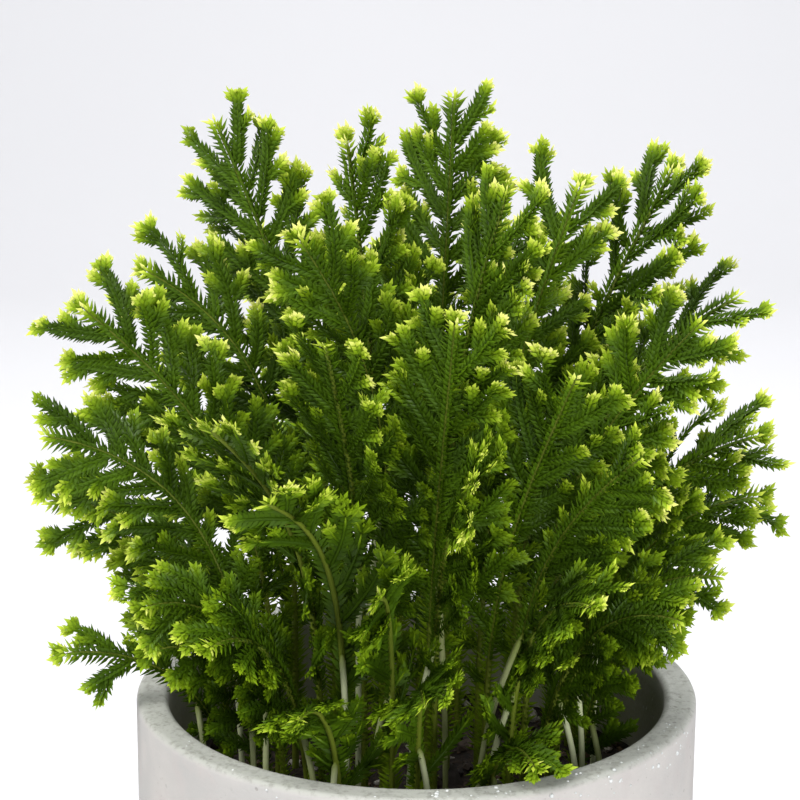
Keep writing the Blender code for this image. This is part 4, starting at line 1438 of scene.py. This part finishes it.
def make_soil():
    """A filled disc: base, straight side, then the uneven top from the wall to the middle."""
    a = 2.0 * math.pi * np.arange(SOIL_COLUMNS) / SOIL_COLUMNS
    base = (0.0, 0.5, 1.0)
    share = np.concatenate((base, np.linspace(1.0, 0.0, SOIL_ROWS)))[:, None]
    r = SOIL_RADIUS * share + 0.0 * a
    top = r[len(base):]
    z = np.vstack((np.full((len(base), SOIL_COLUMNS), POT_FLOOR + GAP),
                   soil_height(top * np.cos(a), top * np.sin(a), np.random.default_rng(SOIL_SEED))))
    points, faces = turned_mesh(r, z, SOIL_COLUMNS)
    add_piece("soil_bed", points, faces, soil, replaced=("soil",))
    return len(faces)


GOLDEN = (1.0 + math.sqrt(5.0)) / 2.0
CRUMB_SHAPE = unit(((-1, GOLDEN, 0), (1, GOLDEN, 0), (-1, -GOLDEN, 0), (1, -GOLDEN, 0),
                    (0, -1, GOLDEN), (0, 1, GOLDEN), (0, -1, -GOLDEN), (0, 1, -GOLDEN),
                    (GOLDEN, 0, -1), (GOLDEN, 0, 1), (-GOLDEN, 0, -1), (-GOLDEN, 0, 1)))
CRUMB_FACES = np.array(((0, 11, 5), (0, 5, 1), (0, 1, 7), (0, 7, 10), (0, 10, 11), (1, 5, 9),
                        (5, 11, 4), (11, 10, 2), (10, 7, 6), (7, 1, 8), (3, 9, 4), (3, 4, 2),
                        (3, 2, 6), (3, 6, 8), (3, 8, 9), (4, 9, 5), (2, 4, 11), (6, 2, 10),
                        (8, 6, 7), (9, 8, 1)))


def make_crumbs():
    """Icosahedra, each stretched along its own three random axes and sunk by a third."""
    rng = np.random.default_rng(CRUMB_SEED)
    a = rng.uniform(0.0, 2.0 * math.pi, CRUMBS)
    r = (SOIL_RADIUS - 3.0 * MM) * np.sqrt(rng.uniform(0.0, 1.0, CRUMBS))
    x, y = r * np.cos(a), r * np.sin(a)
    size = rng.gamma(4.0, 0.22, CRUMBS) * MM + 0.3 * MM
    stretch = size[:, None] * rng.uniform((0.8, 0.5, 0.3), (1.6, 1.0, 0.7), (CRUMBS, 3))
    first = unit(rng.normal(0.0, 1.0, (CRUMBS, 3)) * (1.0, 1.0, 0.35))
    second = unit(np.cross(first, rng.normal(0.0, 1.0, (CRUMBS, 3))))
    axes = np.stack((first, second, np.cross(first, second)), axis=1)
    uneven = CRUMB_SHAPE[None] * rng.uniform(0.8, 1.15, (CRUMBS, len(CRUMB_SHAPE), 1))
    points = np.einsum("nps,nsa->npa", uneven * stretch[:, None], axes)
    ground = soil_height(x, y, np.random.default_rng(SOIL_SEED))
    points = points + np.stack((x, y, ground + 0.25 * size), axis=1)[:, None]
    faces = CRUMB_FACES[None] + len(CRUMB_SHAPE) * np.arange(CRUMBS)[:, None, None]
    pale = np.repeat(rng.uniform(0.0, 1.0, CRUMBS), len(CRUMB_SHAPE))
    add_piece("soil_crumbs", points.reshape(-1, 3), faces.reshape(-1, 3), crumbs,
              smooth=False, numbers={"pale": pale})
    return CRUMBS * len(CRUMB_FACES)


print("soil triangles:", make_soil(), "crumb triangles:", make_crumbs())

# %% [markdown]
# The plant has just been sprayed, so beads of water sit on the front of the rim, most of them to
# the right. A bead is a flattened dome of a few rings, set on the slope of the rim.

# %% Water beads
BEADS = 110
BEAD_HEIGHTS = (0.72, 0.62, 0.36, 0.0, -0.25)
BEAD_SHARES = (0.45, 0.8, 1.0, 0.75)
BEAD_SIDES = 10


def make_beads():
    """Domes: rings of radius share * size at height * size over a foot on the rim or the wall."""
    rng = np.random.default_rng(BEAD_SEED)
    a = np.radians(np.where(rng.random(BEADS) < 0.7, rng.uniform(-88.0, -18.0, BEADS),
                            rng.uniform(-150.0, -20.0, BEADS)))
    size = np.clip(rng.lognormal(-1.35, 0.5, BEADS), 0.12, 0.85) * MM
    down = rng.uniform(-4.5, 5.0, BEADS) * MM
    on_top = down < 0.0
    r = np.where(on_top, POT_RADIUS - RIM_EDGE * 0.4 + down, POT_RADIUS - 0.1 * MM)
    z = np.where(on_top, POT_HEIGHT - 0.14 * MM, POT_HEIGHT - RIM_EDGE * 0.5 - down)
    out = np.stack((np.cos(a), np.sin(a), 0.0 * a), axis=1)
    edge = np.clip((r - POT_RADIUS + RIM_EDGE) / RIM_EDGE, 0.0, 1.0) * on_top * 0.7
    up = unit(np.where(on_top[:, None], UP + out * edge[:, None], out))
    foot = out * r[:, None] + UP * z[:, None] - up * (edge * 0.25 * MM)[:, None]
    side = unit(np.cross(up, (0.3, 0.2, 0.9)))
    other = np.cross(up, side)
    turn = (2.0 * math.pi * np.arange(BEAD_SIDES) / BEAD_SIDES)[None, :, None]
    ring = side[:, None] * np.cos(turn) + other[:, None] * np.sin(turn)
    rise = [foot[:, None] + up[:, None] * (size * height)[:, None, None]
            for height in BEAD_HEIGHTS]
    rows = [level + ring * (size * share)[:, None, None]
            for level, share in zip(rise[1:], BEAD_SHARES)]
    points = np.concatenate((rise[0], *rows, rise[-1]), axis=1)
    faces = ring_faces(len(rows), BEAD_SIDES)[:, ::-1]
    faces = faces[None] + points.shape[1] * np.arange(BEADS)[:, None, None]
    add_piece("water_beads", points.reshape(-1, 3), faces.reshape(-1, 3), water)
    return faces.shape[0] * faces.shape[1]


print("bead triangles:", make_beads())

# %% [markdown]
# The studio: a pale floor that curves up into a pale backdrop, and three large soft lights with
# an even sky, as in a bright room. One comes from the left and above, like a window, one from
# the front and the right, and one from above and behind.

# %% Floor and light
FLOOR_FRONT = -1.2
FLOOR_BACK = 0.9
BEND = 0.5
FLOOR_HALF = 2.0
BACKDROP_TOP = 2.2
PAPER_GREY = (0.64, 0.64, 0.66)
PAPER_PALE = (0.67, 0.67, 0.69)
AIM = (0.0, 0.0, 0.17)
SKY_COLOUR = (0.93, 0.95, 0.98, 1.0)
SKY_STRENGTH = 0.45


def add_backdrop():
    """A section of floor, quarter circle and wall, carried sideways."""
    a = np.radians(np.linspace(-90.0, 0.0, 16))
    y = np.concatenate(((FLOOR_FRONT, 0.0), FLOOR_BACK + BEND * np.cos(a), (FLOOR_BACK + BEND,)))
    z = np.concatenate(((0.0, 0.0), BEND + BEND * np.sin(a), (BACKDROP_TOP,)))
    x = np.array((-FLOOR_HALF, FLOOR_HALF))
    grid = np.broadcast_arrays(x[None], y[:, None], z[:, None])
    points = np.stack(grid, axis=-1).reshape(-1, 3)
    low = 2 * np.arange(len(y) - 1)
    faces = np.stack((low, low + 1, low + 3, low + 2), axis=1)
    mesh = bpy.data.meshes.new("backdrop")
    mesh.from_pydata(points.tolist(), [], faces.tolist())
    mesh.polygons.foreach_set("use_smooth", np.ones(len(low), dtype=bool))
    finish = Finish("pale_paper")
    tone = finish.mix(finish.noise(0.5, 2.0), PAPER_GREY, PAPER_PALE)
    mesh.materials.append(finish.set(Base_Color=tone, Roughness=0.9))
    backdrop = bpy.data.objects.new("backdrop", mesh)
    bpy.context.scene.collection.objects.link(backdrop)
    backdrop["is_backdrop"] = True


def add_light(name, place, size, power, colour):
    """A square soft light at a place, aimed at the plant."""
    data = bpy.data.lights.new(name, "AREA")
    data.shape = "SQUARE"
    data.size = size
    data.energy = power
    data.color = colour
    back = unit(np.array(place) - np.array(AIM))
    right = unit(np.cross(UP, back))
    stand(name, data, right, np.cross(back, right), back, place)


add_backdrop()
add_light("window", (-0.7, -0.35, 1.1), 0.7, 17.0, (1.0, 0.99, 0.97))
add_light("room", (0.6, -1.1, 0.32), 0.9, 15.5, (0.99, 0.99, 1.0))
add_light("above", (0.2, 0.55, 1.2), 0.8, 12.0, (1.0, 1.0, 1.0))
world = bpy.data.worlds.new("sky")
world.use_nodes = True
sky = world.node_tree.nodes["Background"]
sky.inputs["Color"].default_value = SKY_COLOUR
sky.inputs["Strength"].default_value = SKY_STRENGTH
bpy.context.scene.world = world
bpy.context.scene.view_settings.view_transform = "Standard"
bpy.context.scene.view_settings.look = "None"
print("lights:", [light.name for light in bpy.data.lights])

# %% Size and finish
new_low, new_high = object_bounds()
size = {"cad": [list(map(float, cad_low)), list(map(float, cad_high))],
        "visual": [list(map(float, new_low)), list(map(float, new_high))]}
for key, (low, high) in size.items():
    print(key, [round((b - a) / MM, 1) for a, b in zip(low, high)])
